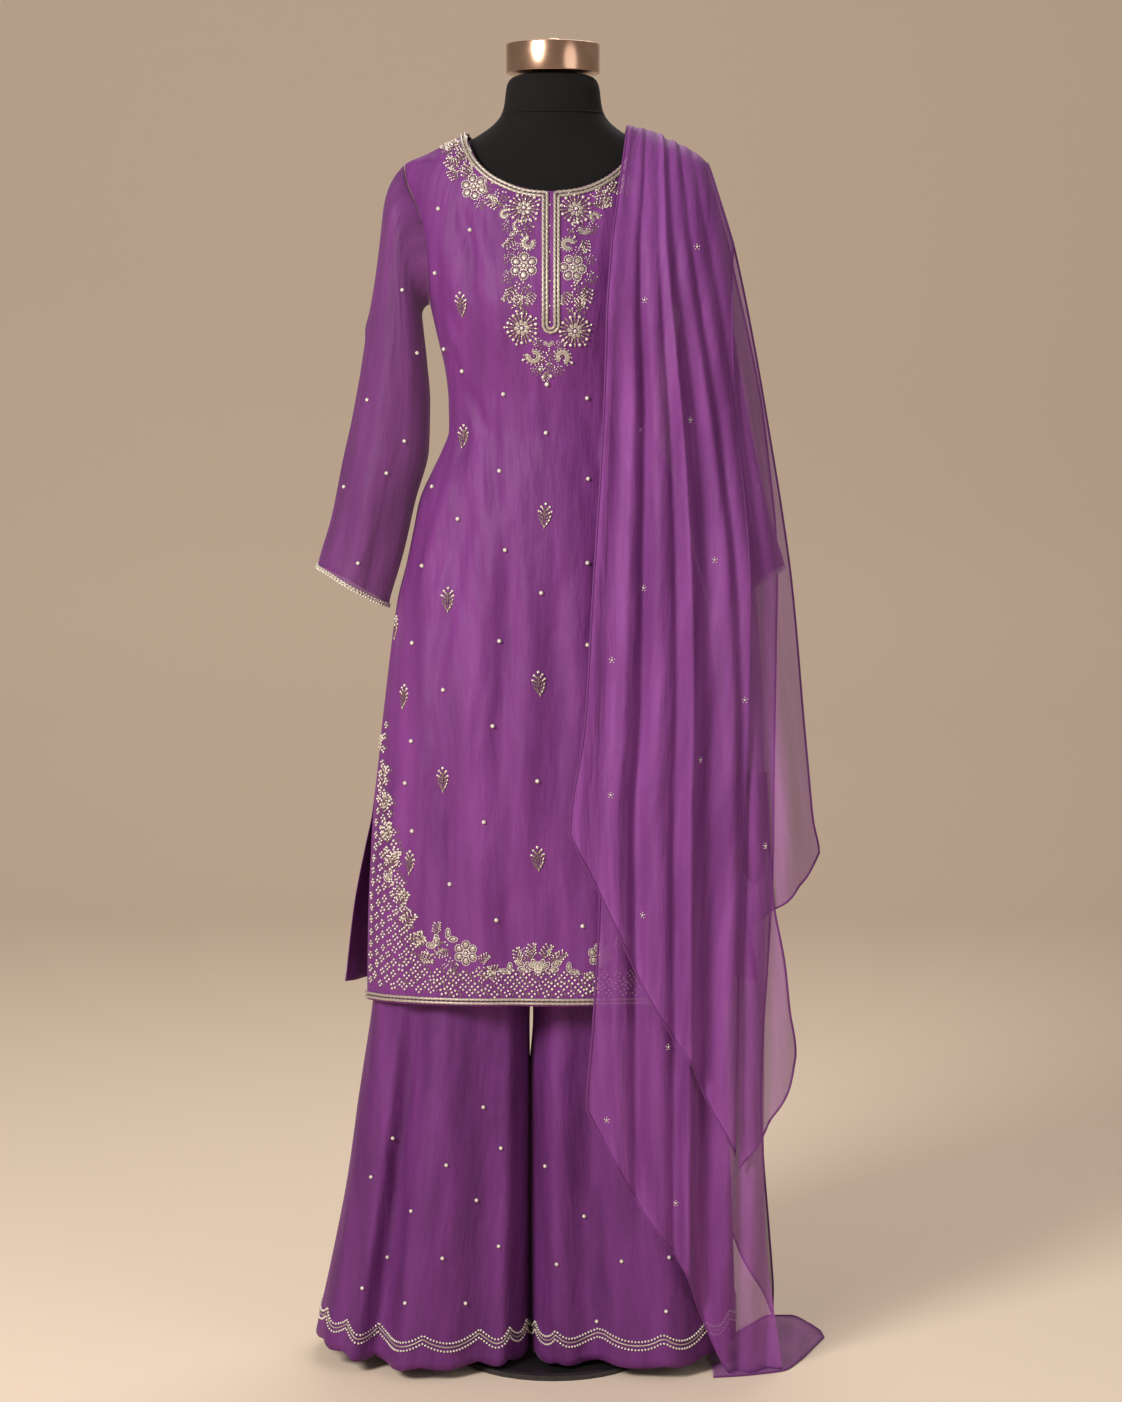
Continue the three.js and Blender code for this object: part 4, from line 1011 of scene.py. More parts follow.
UPPER_EDGES = [
    (1290, 65, 203),
    (1219, 60, 199),
    (1151, 58, 202),
    (1094, 56, 207),
    (899, 44, 219),
    (762, 36, 219),
    (636, 19, 214),
    (260, 19, 205),
]
UPPER_HEM = [(0, 636), (0.18, 567), (0.5, 440), (0.73, 372), (1, 268)]
BACK_EDGES = [
    (1290, 65, 203),
    (1094, 40, 243),
    (899, 20, 262),
    (597, 0, 262),
    (283, -10, 250),
    (49, -10, 266),
]
BACK_HEM = [(0, 560), (0.3, 400), (0.6, 230), (0.85, 100), (1, 12)]
LOWER_EDGES = [
    (1290, 72, 180),
    (1003, 60, 218),
    (760, 55, 238),
    (567, 53, 240),
    (413, 45, 240),
    (322, 38, 240),
    (200, 38, 243),
    (1, 38, 264),
]
LOWER_HEM = [(0, 322), (0.3, 207), (0.53, 132), (0.62, 66), (0.74, 3), (1, 3)]
SIDE_EDGES = [
    (1290, 150, 203),
    (1219, 158, 219),
    (1094, 166, 243),
    (1003, 176, 258.5),
    (899, 186, 273),
    (714, 194, 289.5),
    (640, 196, 297),
    (597, 198, 306),
    (520, 200, 306),
]
SIDE_HEM = [(0, 522), (0.5, 544), (0.8, 570), (1, 600)]
CASCADE_EDGES = [
    (700, 200, 240),
    (560, 204, 250),
    (480, 206, 262),
    (425, 208, 268),
    (375, 210, 277),
    (280, 212, 277),
]
CASCADE_HEM = [(0, 250), (0.5, 294), (0.85, 335), (1, 372)]


def swing_of(z, over=0.32):
    """The pleats are pinned flat at the shoulder and open as they fall."""
    return mix(over, 1.0, blend_in((1330 - z) / 260)) * mix(1, 1.15, blend_in((900 - z) / 500))


scarf_pieces = {}

columns, front_count, back_count = 132, 170, 122
front, share, over_rows = front_rows(UPPER_EDGES, UPPER_HEM, (0, 0, 1), front_count, columns, 1.0)
edge_z, lefts, rights = zip(*BACK_EDGES)
c, t = np.meshgrid(np.linspace(0, 1, columns), np.linspace(1, 0, back_count)[:-1])
back_z = mix(SCARF_BREAK, curve(*zip(*BACK_HEM))(c), t)
back_x = mix(curve(edge_z, lefts)(back_z), curve(edge_z, rights)(back_z), c)
back = np.stack([back_x, scarf_face(back_x, back_z, 1, 0), back_z], -1)
whole = np.concatenate([back, front])
z = whole[..., 2]
behind = np.concatenate([np.ones(len(back)), np.linspace(1, 0, over_rows), np.zeros(front_count)])
behind = behind[:, None]
all_share = np.concatenate([c, share])
lift = pleats(all_share, z, FRONT_PLEATS, swing_of(z)) * (1 - behind)
lift += pleats(all_share, z, BACK_PLEATS, swing_of(z)) * behind
lift += crumple(all_share * 260, z, 61, 0.9, 13, 6) + crumple(all_share * 260, z, 62, 0.35, 6, 4)
steep = np.clip(np.abs(whole[..., 0]) / scarf_half(z), 0, 1) ** 3
whole += outward(whole) * (lift * (1 - 0.55 * steep))[..., None]
outer_nodes = ("dupatta_shoulder", "dupatta_upper_fall", "dupatta_back_fall")
scarf_pieces["outer"] = finish_scarf("scarf_over_shoulder", outer_nodes, whole), whole

for key, edges, hem, inset, columns, rows, v_end, seed in [
    ("side", SIDE_EDGES, SIDE_HEM, (1.4, 9, 110), 66, 150, 0.7, 71),
    ("lower", LOWER_EDGES, LOWER_HEM, (2.6, 18, 160), 122, 180, 0.66, 72),
]:
    grid, share, _ = front_rows(edges, hem, inset, rows, columns, v_end)
    z = grid[..., 2]
    lift = pleats(share, z, FRONT_PLEATS, swing_of(z)) + crumple(share * 260, z, seed, 0.7, 14, 6)
    steep = np.clip(np.abs(grid[..., 0]) / scarf_half(z), 0, 1) ** 3
    grid += outward(grid) * (lift * (1 - 0.55 * steep))[..., None]
    grid[..., 2] = np.maximum(grid[..., 2], 1.6)
    piece = finish_scarf(f"scarf_{key}_fall", (f"dupatta_{key}_fall",), grid)
    scarf_pieces[key] = piece, grid

edge_z, lefts, rights = zip(*CASCADE_EDGES)
c, t = np.meshgrid(np.linspace(0, 1, 48), np.linspace(0, 1, 84))
z = mix(700, curve(*zip(*CASCADE_HEM))(c), t)
x = mix(curve(edge_z, lefts)(z), curve(edge_z, rights)(z), c)
grid = np.stack([x, scarf_face(x, z, -1, mix(11.5, 5, blend_in((620 - z) / 90))), z], -1)
share = (x - scarf_left(z)) / (scarf_right(z) - scarf_left(z))
lift = pleats(share, z, FRONT_PLEATS, swing_of(z)) + crumple(share * 260, z, 73, 0.7, 12, 5)
grid += outward(grid) * (lift * 0.6)[..., None]
scarf_pieces["cascade"] = finish_scarf("scarf_cascade", ("dupatta_cascade",), grid), grid

# Place along the tail, then its near and far edge
TAIL_ROWS = [
    (184, -102, 10),
    (214, -97, 52),
    (240, -89, 96),
    (266, -78, 132),
    (290, -36, 132),
    (310, 14, 100),
    (323, 46, 66),
]
tail_x, tail_near, tail_far = zip(*TAIL_ROWS)
across, along = np.meshgrid(np.linspace(0, 1, 84), np.linspace(0, 1, 66))
x = mix(184, 323, across)
y = mix(curve(tail_x, tail_far)(x), curve(tail_x, tail_near)(x), along)
ripple = 3.2 * (1 + np.sin(7.5 * across + 8 * along)) + 1.6 * (1 + np.sin(23 * across - 9 * along))
from_ends = np.sin(np.pi * np.clip(across, 0.03, 0.98)) ** 0.5
height = 1.2 + ripple * np.sin(np.pi * along) ** 0.6 * from_ends
grid = np.stack([x, y, height], -1)
scarf_pieces["tail"] = finish_scarf("scarf_floor_tail", ("dupatta_tail",), grid), grid


def rope(path, radius, sides=7, twist=0.0, relief=0.0):
    """The points and faces of a cord or rolled edge along a path, closed at both ends."""
    path = np.array(path, float)
    ahead = np.gradient(path, axis=0)
    ahead /= np.maximum(np.linalg.norm(ahead, axis=1, keepdims=True), 1e-9)
    side = np.cross(ahead, [0.3, 0.2, 1.0])
    side /= np.maximum(np.linalg.norm(side, axis=1, keepdims=True), 1e-9)
    over = np.cross(side, ahead)
    run = np.concatenate([[0], np.cumsum(np.linalg.norm(np.diff(path, axis=0), axis=1))])
    turn = np.linspace(0, 2 * np.pi, sides + 1)[:-1]
    reach = radius * (1 + relief * np.cos(2 * (turn - twist * run[:, None])))
    ring = side[:, None] * np.cos(turn)[:, None] + over[:, None] * np.sin(turn)[:, None]
    grid = path[:, None] + ring * reach[..., None]
    points = np.concatenate([grid.reshape(-1, 3), path[:1], path[-1:]])
    count, faces = len(path), []
    for j in range(sides):
        k = (j + 1) % sides
        for row in range(0, (count - 1) * sides, sides):
            faces.append((row + j, row + k, row + sides + k, row + sides + j))
        last = (count - 1) * sides
        faces += [(count * sides, k, j), (count * sides + 1, last + j, last + k)]
    return points, faces


def joined(name, parts, material):
    """One smooth mesh of many small closed forms, each with its points in mm and faces."""
    points, faces, start = [], [], 0
    for spots, sides in parts:
        points.append(spots)
        faces += [tuple(start + corner for corner in face) for face in sides]
        start += len(spots)
    mesh = bpy.data.meshes.new(name)
    mesh.from_pydata((np.concatenate(points) * MM).tolist(), [], faces)
    body = bmesh.new()
    body.from_mesh(mesh)
    bmesh.ops.recalc_face_normals(body, faces=body.faces)
    body.to_mesh(mesh)
    body.free()
    mesh.polygons.foreach_set("use_smooth", [True] * len(mesh.polygons))
    mesh.materials.append(material)
    piece = bpy.data.objects.new(name, mesh)
    bpy.context.collection.objects.link(piece)
    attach(piece, "root")
    return piece


def rim(grid, sides):
    """The points along chosen edges of a grid: left, foot, right, top."""
    edges = {"left": grid[:, 0], "foot": grid[-1], "right": grid[::-1, -1], "top": grid[0, ::-1]}
    return np.concatenate([edges[side] for side in sides])


hems = []
for key, sides in {
    "outer": ("left", "foot", "right", "top"),
    "side": ("foot", "right"),
    "lower": ("left", "foot"),
    "cascade": ("foot", "right"),
    "tail": ("foot", "right", "top"),
}.items():
    edge = rim(scarf_pieces[key][1], sides)
    moved = np.linalg.norm(np.diff(edge, axis=0), axis=1) > 0.8
    edge = edge[np.concatenate([[True], moved])]
    edge[:, 2] = np.maximum(edge[:, 2], 1.5)
    hems.append(rope(edge, 1.25, 6))
scarf_hems = joined("scarf_rolled_edges", hems, scarf_roll)

# The bound neck and the placket: twin ivory and silver cords, couched side by side
# round the neck and down both edges of the slit, where they turn in a U at its foot.
# Small pearls close the slit.


def surface_of(grid):
    """A search tree of a grid's outer face, in mm."""
    tall, wide = grid.shape[:2]
    corners = [
        (i * wide + j, (i + 1) * wide + j, (i + 1) * wide + j + 1, i * wide + j + 1)
        for i in range(tall - 1)
        for j in range(wide - 1)
    ]
    return BVHTree.FromPolygons(grid.reshape(-1, 3).tolist(), corners)


front_surface, back_surface = surface_of(front_grid), surface_of(back_grid)
ivory_thread = plain_finish(
    "ivory_silver_thread", (0.29, 0.24, 0.2), (0.62, 0.54, 0.46), 0.36, 0.35, 1400, 0.6, 0.0003
)
pearl_glaze = plain_finish(
    "ivory_pearl", (0.64, 0.57, 0.48), (0.83, 0.77, 0.67), 0.2, 0.1, 500, 0.03
)
pearl_glaze.node_tree.nodes["Principled BSDF"].inputs["Coat Weight"].default_value = 0.6
bugle_glass = plain_finish(
    "silver_bugle", (0.36, 0.28, 0.23), (0.75, 0.65, 0.55), 0.28, 0.75, 800, 0.1
)
shadow_thread = plain_finish(
    "brown_mauve_thread", (0.12, 0.07, 0.085), (0.26, 0.17, 0.17), 0.5, 0.25, 1500, 0.5, 0.0003
)


CORD_STEP = 1.4
NECK_CORD = {"radius": 1.75, "sides": 8, "twist": 0.55, "relief": 0.2}
# How far each cord runs from the neck's edge, and from the middle of the slit
NECK_CORD_LINES = [(2.2, 4.3), (6.2, 8.4)]
SLIT_FOOT = 1192


def evenly(path, gap):
    """Points at even distances along a path."""
    path = np.array(path, float)
    run = np.concatenate([[0], np.cumsum(np.linalg.norm(np.diff(path, axis=0), axis=1))])
    places = np.linspace(0, run[-1], max(2, int(round(run[-1] / gap)) + 1))
    return np.stack([np.interp(places, run, path[:, k]) for k in range(path.shape[1])], 1)


def laid_on(surface, points, lift):
    """Points set on a surface and raised by a little, with the surface's direction there."""
    spots, normals = [], []
    for point in points:
        place, normal, _, _ = surface.find_nearest(Vector(point))
        spots.append(np.array(place) + lift * np.array(normal))
        normals.append(np.array(normal))
    return np.array(spots), np.array(normals)


def neck_line(offset, slit):
    """A line seen from the front, at a distance from the neck's edge and the slit's edge."""
    share = np.linspace(NECK_SHARE, 0.0, 90)
    turn = np.pi / 2 * (share / NECK_SHARE) ** NECK_SPREAD
    x = -(NECK_HALF * np.sin(turn) + 2 * share / NECK_SHARE)
    edge = np.stack([x, NECK_POINT - NECK_DROP[-1] * np.cos(turn)], 1)
    ahead = np.gradient(edge, axis=0)
    ahead /= np.linalg.norm(ahead, axis=1, keepdims=True)
    line = edge + offset * np.stack([ahead[:, 1], -ahead[:, 0]], 1)
    line = line[line[:, 0] < -slit]
    foot = SLIT_FOOT + (8 - slit)
    down = np.stack([np.full(60, -slit), np.linspace(line[-1, 1] - 1, foot + slit, 60)], 1)
    around = np.linspace(np.pi, 1.5 * np.pi, 12)[1:]
    bend = np.stack([slit * np.cos(around), foot + slit + slit * np.sin(around)], 1)
    half = np.concatenate([line, down, bend])
    whole_line = np.concatenate([half, half[::-1][1:] * [-1, 1]])
    whole_line[:, 0] += TUNIC_LEAN
    return whole_line


cords = []
for offset, slit in NECK_CORD_LINES:
    flat_line = evenly(neck_line(offset, slit), CORD_STEP)
    depth = tunic_face(flat_line[:, 0], flat_line[:, 1], -1)
    spots, _ = laid_on(front_surface, np.stack([flat_line[:, 0], depth, flat_line[:, 1]], 1), 1.2)
    cords.append(rope(spots, **NECK_CORD))
neck_cords = joined("neck_and_placket_cords", cords, ivory_thread)
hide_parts("neck_cord_right", "neck_cord_left", "placket")

back_cords = []
neck_columns = slice(31, 78)
for row in (2, 5):
    raised = back_grid[row] + 1.2 * outward(back_grid)[row]
    back_cords.append(rope(evenly(raised[neck_columns], CORD_STEP), **NECK_CORD))
back_neck_cords = joined("back_neck_cords", back_cords, ivory_thread)
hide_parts("neck_cord_back")

# The hems and cuffs: the tunic's hem is edged with two ivory cords, and each sleeve
# ends in a narrow faced band between a cord and a row of small beads.


HEM_CORD = {"radius": 1.6, "sides": 7, "twist": 0.55, "relief": 0.2}
CUFF_CORD = {"radius": 1.0, "sides": 6, "twist": 0.7, "relief": 0.16}


def band_line(grid, row, lift, gap=CORD_STEP, is_tube=False):
    """A line along a grid's row, which may fall between two rows, raised by a little."""
    low, share = int(row), row - int(row)
    high = min(low + 1, len(grid) - 1)
    normals = outward(grid)
    line = mix(grid[low], grid[high], share) + lift * mix(normals[low], normals[high], share)
    if is_tube:
        line = np.concatenate([line, line[:1]])
    return evenly(line, gap)


hem_ropes = {}
for name, grid in (("front", front_grid), ("back", back_grid)):
    middle = PANEL_COLUMNS // 2
    step = np.linalg.norm(grid[-1, middle] - grid[-2, middle])
    last = len(grid) - 1
    hem_ropes[name] = [
        rope(band_line(grid, last - above / step, 1.1), **HEM_CORD) for above in (3.4, 7.6)
    ]
hem_cords = joined("tunic_front_hem_cords", hem_ropes["front"], ivory_thread)
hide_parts("hem_cord_front")
back_hem_cords = joined("tunic_back_hem_cords", hem_ropes["back"], ivory_thread)
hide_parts("hem_cord_back")

cuff_cords = {}
for name, node in (("right_sleeve", "cuff_right"), ("left_sleeve", "cuff_left")):
    grid = sleeves[name][1]
    last = len(grid) - 1
    edges = [
        rope(band_line(grid, last - back, lift, CORD_STEP, True), **CUFF_CORD)
        for back, lift in ((0.25, 0.6), (0.5, -1.0), (2.2, 0.7))
    ]
    cuff_cords[name] = joined(name + "_cuff_cords", edges, ivory_thread)
    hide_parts(node)

# The handwork: pearls, silver bugles, padded petals of ivory thread and leaves of dull
# brown-mauve thread, all sewn on by hand. Flowers, curls and leaf sprays stand round
# the placket and along the hem, and a trellis of pearls fills the lower corners.


def small_form(kind):
    """The points and faces of one bead or stitch, one unit long, along X."""
    body = bmesh.new()
    if kind == "pearl":
        bmesh.ops.create_uvsphere(body, u_segments=7, v_segments=5, radius=0.5)
    elif kind == "seed":
        bmesh.ops.create_uvsphere(body, u_segments=5, v_segments=4, radius=0.5)
    elif kind in ("bugle", "stalk"):
        bmesh.ops.create_uvsphere(body, u_segments=5, v_segments=4, radius=0.5)
        for point in body.verts:
            point.co = point.co.z, 1.15 * point.co.y, 1.15 * point.co.x
    else:
        bmesh.ops.create_uvsphere(body, u_segments=7, v_segments=4, radius=0.5)
        for point in body.verts:
            point.co.y *= 1.0 + 0.5 * point.co.x
            point.co.z = max(point.co.z, -0.12)
    body.verts.index_update()
    points = np.array([point.co for point in body.verts])
    faces = [[corner.index for corner in face.verts] for face in body.faces]
    body.free()
    return points, faces


FORMS = {kind: small_form(kind) for kind in ("pearl", "seed", "bugle", "petal", "leaf", "stalk")}
FINISHES = {
    "pearl": pearl_glaze,
    "seed": pearl_glaze,
    "bugle": bugle_glass,
    "petal": ivory_thread,
    "leaf": shadow_thread,
    "stalk": shadow_thread,
}
HEIGHTS = {"pearl": 0.9, "seed": 0.9, "bugle": 1.0, "petal": 0.2, "leaf": 0.3, "stalk": 0.8}


def stitched(name, stitches, kinds):
    """One piece of all the beads and stitches of some kinds, each at its own place."""
    parts = []
    for kind in kinds:
        form, faces = FORMS[kind]
        for place, normal, ahead, length, width in stitches[kind]:
            side = np.cross(normal, ahead)
            tall = HEIGHTS[kind] * width
            spots = place + (form[:, :1] * length) * ahead + (form[:, 1:2] * width) * side
            parts.append((spots + (form[:, 2:] * tall + 0.32 * tall) * normal, faces))
    return joined(name, parts, FINISHES[kinds[0]])


def handwork(name, stitches):
    """All the pieces of the handwork on one cloth."""
    groups = {
        "pearls": ["pearl", "seed"],
        "bugles": ["bugle"],
        "padded_petals": ["petal"],
        "dull_leaves": ["leaf", "stalk"],
    }
    return [
        stitched(f"{name}_{group}", stitches, kinds)
        for group, kinds in groups.items()
        if any(stitches[kind] for kind in kinds)
    ]


def sew(stitches, surface, place, normal, design, turn=0.0, size=1.0, flip=1):
    """Sews a design on a surface. Its rows: kind, across, up, heading, length, width."""
    up = np.array([0, 0, 1.0]) - normal[2] * normal
    up /= max(np.linalg.norm(up), 1e-6)
    side = np.cross(up, normal) * flip
    c, s = math.cos(math.radians(turn)), math.sin(math.radians(turn))
    for kind, across, rise, heading, length, width in design:
        a, b = size * (across * c - rise * s), size * (across * s + rise * c)
        spot, facing, _, gap = surface.find_nearest(Vector(place + a * side + b * up))
        if gap > 12:
            continue
        facing = np.array(facing)
        if facing @ normal < 0:
            facing = -facing
        way = math.radians(heading + turn)
        ahead = math.cos(way) * side + math.sin(way) * up
        ahead -= (ahead @ facing) * facing
        ahead /= max(np.linalg.norm(ahead), 1e-6)
        stitches[kind].append((np.array(spot), facing, ahead, size * length, size * width))


def polar(reach, degrees):
    """A place at a distance and a heading from the middle of a design."""
    return reach * math.cos(math.radians(degrees)), reach * math.sin(math.radians(degrees))


def ring(kind, count, reach, length, width, start=0.0, lean=0.0):
    """Equal beads or stitches round a middle, each pointing away from it."""
    turns = [start + 360 * k / count for k in range(count)]
    return [(kind, *polar(reach, turn), turn + lean, length, width) for turn in turns]


def bead(width, x=0.0, y=0.0, kind="pearl"):
    """One round bead of a design."""
    return kind, x, y, 0, width, width


def loop(x, y, heading, length, width, beads):
    """A loop of seed beads round a padded petal."""
    ahead_x, ahead_y = polar(1, heading)
    design = [("petal", x, y, heading, 0.74 * length, 0.7 * width)]
    for k in range(beads):
        t = 2 * math.pi * k / beads
        a, b = 0.5 * length * math.cos(t), 0.5 * width * math.sin(t)
        place = x + a * ahead_x - b * ahead_y, y + a * ahead_y + b * ahead_x
        design.append(bead(1.9, *place, "seed"))
    return design


def rosette():
    """A flower of six looped petals, with a dull stroke of thread in each."""
    design = []
    for turn in range(90, 450, 60):
        design += loop(*polar(9.2, turn), turn, 10.4, 9.6, 15)
        design.append(("leaf", *polar(9.4, turn), turn, 4.2, 2.4))
    design += ring("bugle", 6, 4.6, 3.8, 1.6, 60)
    return design + ring("seed", 8, 3.2, 1.9, 1.9) + [bead(4.0)]


def starburst():
    """A burst of bugles round a cluster of pearls, with a pearl on each ray."""
    design = ring("petal", 8, 6.0, 6.0, 5.0) + ring("seed", 9, 3.9, 2.0, 2.0, 22)
    design += ring("bugle", 10, 11.0, 6.6, 1.9, 10) + ring("leaf", 10, 11.0, 6.4, 2.6, 28)
    design += ring("pearl", 10, 15.8, 3.8, 3.8, 10) + ring("bugle", 10, 15.4, 5.4, 1.8, 28)
    return design + ring("pearl", 5, 18.8, 2.9, 2.9, 28) + [bead(4.4)]


def curl():
    """A paisley curl of padded thread, edged with beads."""
    design = []
    for k, turn in enumerate(np.linspace(-75, 205, 12)):
        x, y = polar(7.6 - 0.22 * k, turn)
        design.append(("petal", x, y, turn + 90, 4.8, 6.4 - 0.3 * k))
        design += [bead(1.8, share * x, share * y, "seed") for share in (0.58, 1.5)]
    return design + [("leaf", 0, 0, 60, 5, 3), bead(3.4, 8.4, -10)]


def spray(pairs, step=5.4, bow=7.0):
    """A leafy sprig that grows upwards, with a pearl at the tip of each leaf."""
    design = []
    for k in range(pairs):
        y, x = k * step, bow * (k / max(pairs, 1)) ** 2
        reach = 9.4 - 0.8 * k
        design.append(("stalk", x, y, 90 - 3 * k, step, 1.6))
        for sign in (-1, 1):
            heading = 90 - sign * 50 - 3 * k
            leaf = ("leaf", "bugle")[(k + (sign > 0)) % 2]
            for share, kind in ((0.3, leaf), (0.72, "bugle"), (1.12, "pearl")):
                a, b = polar(reach * share, heading)
                stitch = (kind, x + a, y + b, heading, 4.4, 2.3)
                design.append(bead(3.3, x + a, y + b) if kind == "pearl" else stitch)
    return design + [bead(3.6, bow, pairs * step)]


def leaf_pair():
    """Two looped leaves that open from one foot."""
    design = []
    for heading in (62, 152):
        design += loop(*polar(7.4, heading), heading, 14, 7.6, 18)
        design.append(("leaf", *polar(7, heading), heading, 9, 1.8))
    return design


def filling(reach, count, seed):
    """Loose pearls, bugles and dull leaves that fill the ground between the motifs."""
    rng = np.random.default_rng(seed)
    design = []
    for k in range(count):
        far, turn = reach * math.sqrt((k + 0.5) / count), k * 137.5 + rng.uniform(-20, 20)
        kind = ("leaf", "pearl", "bugle", "leaf", "seed")[k % 5]
        size = {"leaf": (6, 2.8), "bugle": (5.2, 1.9)}.get(kind, (3.0, 3.0))
        design.append((kind, *polar(far, turn), rng.uniform(0, 360), *size))
    return design


def butti():
    """The small scattered sprig: bugles set as a pointed leaf, with pearls on top."""
    design = [bead(3.4, 0, 12.4), ("stalk", 0, 2, 90, 14, 1.8)]
    for y, reach in ((7.4, 2.6), (3.6, 4.6), (-0.4, 5.6), (-4.4, 4.6), (-8, 2.6)):
        for sign in (-1, 1):
            kind = "bugle" if y > 2 or sign > 0 else "leaf"
            design.append((kind, sign * reach, y, 90 - sign * 34, 5.2, 2.0))
            design.append(("leaf", sign * reach * 0.45, y - 1.6, 90 - sign * 28, 4.8, 2.3))
    for width, x, y in ((2.9, 4.4, 9.4), (2.7, 6.6, 4.6)):
        design += [bead(width, sign * x, y) for sign in (-1, 1)]
    return design + [("bugle", 0, -11.5, 90, 4.4, 1.8)]


def floret():
    """Four pearls in a cross with a knot in the middle, which fills the trellis."""
    return ring("seed", 4, 3.1, 3.1, 3.1, 0)


def lotus():
    """The half-open flower in the middle of the hem."""
    design = loop(0, 5.5, 90, 13, 8, 16)
    for sign in (-1, 1):
        for heading, reach, length in ((38, 11, 14), (66, 10, 13), (8, 17, 15), (24, 24, 12)):
            turn = 90 - sign * (90 - heading)
            design += loop(*polar(reach, turn), turn, length, 6.4, 16)
    return design + ring("seed", 8, 3.6, 1.9, 1.9) + [bead(4.0)]


FRAME_WIDTH, FRAME_HEIGHT, FOCAL_PIXELS = 1122, 1402, 3043
TILT = math.cos(CAMERA_TILT), math.sin(CAMERA_TILT)


def seen(surface, column, row):
    """The place on a surface that the camera sees at a pixel of its 1122 by 1402 frame."""
    x = (column - FRAME_WIDTH / 2) / FOCAL_PIXELS
    y = (FRAME_HEIGHT / 2 - row) / FOCAL_PIXELS
    ray = Vector((x, y * TILT[0] + TILT[1], y * TILT[1] - TILT[0]))
    place, normal, _, _ = surface.ray_cast(CAMERA_PLACE * 1000, ray)
    if place is None:
        return None
    normal = np.array(normal)
    return np.array(place), normal if normal[1] < 0 else -normal


def from_side(surface, x, z, side):
    """The place on a surface straight in front of or behind a point of the middle plane."""
    place, normal, _, _ = surface.ray_cast(Vector((x, side * 600, z)), Vector((0, -side, 0)))
    if place is None:
        return None
    normal = np.array(normal)
    return np.array(place), normal if normal[1] * side > 0 else -normal


def new_stitches():
    return {kind: [] for kind in FORMS}


def sew_seen(stitches, surface, column, row, design, turn=0.0, size=1.0):
    """Sews a design where the camera sees a pixel, and returns the place if there is one."""
    spot = seen(surface, column, row)
    if spot:
        sew(stitches, surface, *spot, design, turn, size)
    return spot


def drawn(design, column):
    """The rows of a design of the neck's or the hem's table."""
    if design is filling:
        return filling(14, 22, column)
    return spray(4) if design is spray else design()


front_work, back_work = new_stitches(), new_stitches()
# Design, where its middle shows, its turn and its size
NECK_DESIGNS = [
    (rosette, 474, 187, 10, 1.06),
    (rosette, 524, 266, 0, 1.08),
    (rosette, 573, 268, 25, 1.06),
    (starburst, 524, 208, 0, 1.04),
    (starburst, 576, 209, 12, 1.04),
    (starburst, 522, 328, 5, 1.04),
    (starburst, 575, 331, -8, 1.04),
    (curl, 529, 243, 180, 0.95),
    (curl, 568, 245, 100, 0.95),
    (curl, 534, 356, 250, 1.0),
    (curl, 562, 357, 20, 1.0),
    (curl, 505, 214, 150, 0.66),
    (curl, 594, 217, 60, 0.66),
    (leaf_pair, 517, 232, 55, 0.62),
    (leaf_pair, 584, 234, -25, 0.62),
    (leaf_pair, 496, 198, 100, 0.66),
    (leaf_pair, 549, 346, -15, 0.5),
    (spray, 514, 238, 150, 0.66),
    (spray, 583, 240, 205, 0.66),
    (spray, 513, 287, 165, 0.78),
    (spray, 586, 287, 192, 0.8),
    (spray, 532, 292, 178, 0.6),
    (spray, 566, 292, 184, 0.62),
    (spray, 519, 308, 10, 0.6),
    (spray, 579, 310, -8, 0.6),
    (spray, 500, 205, 80, 0.75),
    (spray, 468, 178, 18, 0.8),
    (spray, 458, 178, 60, 0.7),
    (spray, 462, 160, -5, 0.8),
    (spray, 458, 166, 72, 0.8),
    (spray, 456, 148, 62, 0.95),
    (spray, 448, 146, 78, 0.75),
    (spray, 462, 146, 20, 0.7),
    (spray, 489, 196, 70, 0.5),
    (spray, 596, 206, -62, 0.75),
    (spray, 598, 196, -30, 0.7),
    (spray, 610, 190, -70, 0.85),
    (spray, 606, 196, 200, 0.6),
    (filling, 524, 226, 0, 0.8),
    (filling, 508, 226, 0, 0.55),
    (filling, 592, 228, 0, 0.55),
    (filling, 509, 258, 0, 0.5),
    (filling, 590, 260, 0, 0.5),
    (filling, 508, 277, 0, 0.55),
    (filling, 591, 278, 0, 0.55),
    (filling, 538, 344, 0, 0.5),
    (filling, 560, 346, 0, 0.5),
    (filling, 537, 370, 0, 0.5),
    (filling, 558, 370, 0, 0.5),
    (filling, 480, 204, 0, 0.5),
    (filling, 577, 228, 0, 0.8),
    (filling, 519, 250, 0, 0.6),
    (filling, 580, 252, 0, 0.6),
    (filling, 521, 290, 0, 0.85),
    (filling, 577, 291, 0, 0.85),
    (filling, 520, 305, 0, 0.85),
    (filling, 577, 307, 0, 0.85),
    (filling, 549, 357, 0, 0.75),
    (filling, 547, 369, 0, 0.65),
    (filling, 500, 198, 0, 0.75),
    (filling, 457, 155, 0, 0.9),
    (filling, 449, 149, 0, 0.7),
    (filling, 464, 167, 0, 0.7),
    (filling, 486, 186, 0, 0.6),
    (filling, 600, 198, 0, 0.85),
    (filling, 612, 186, 0, 0.8),
    (spray, 547, 372, 180, 0.45),
    (rosette, 630, 184, -10, 0.9),
    (spray, 642, 165, 5, 0.95),
    (spray, 650, 150, -25, 0.9),
]
for design, column, row, turn, size in NECK_DESIGNS:
    sew_seen(front_work, front_surface, column, row, drawn(design, column), turn, size)
for column, row, width in [(547, 384, 5.6), (543, 377, 4.2), (551, 376, 4.2), (540, 369, 3.8)]:
    sew_seen(front_work, front_surface, column, row, [bead(width)])
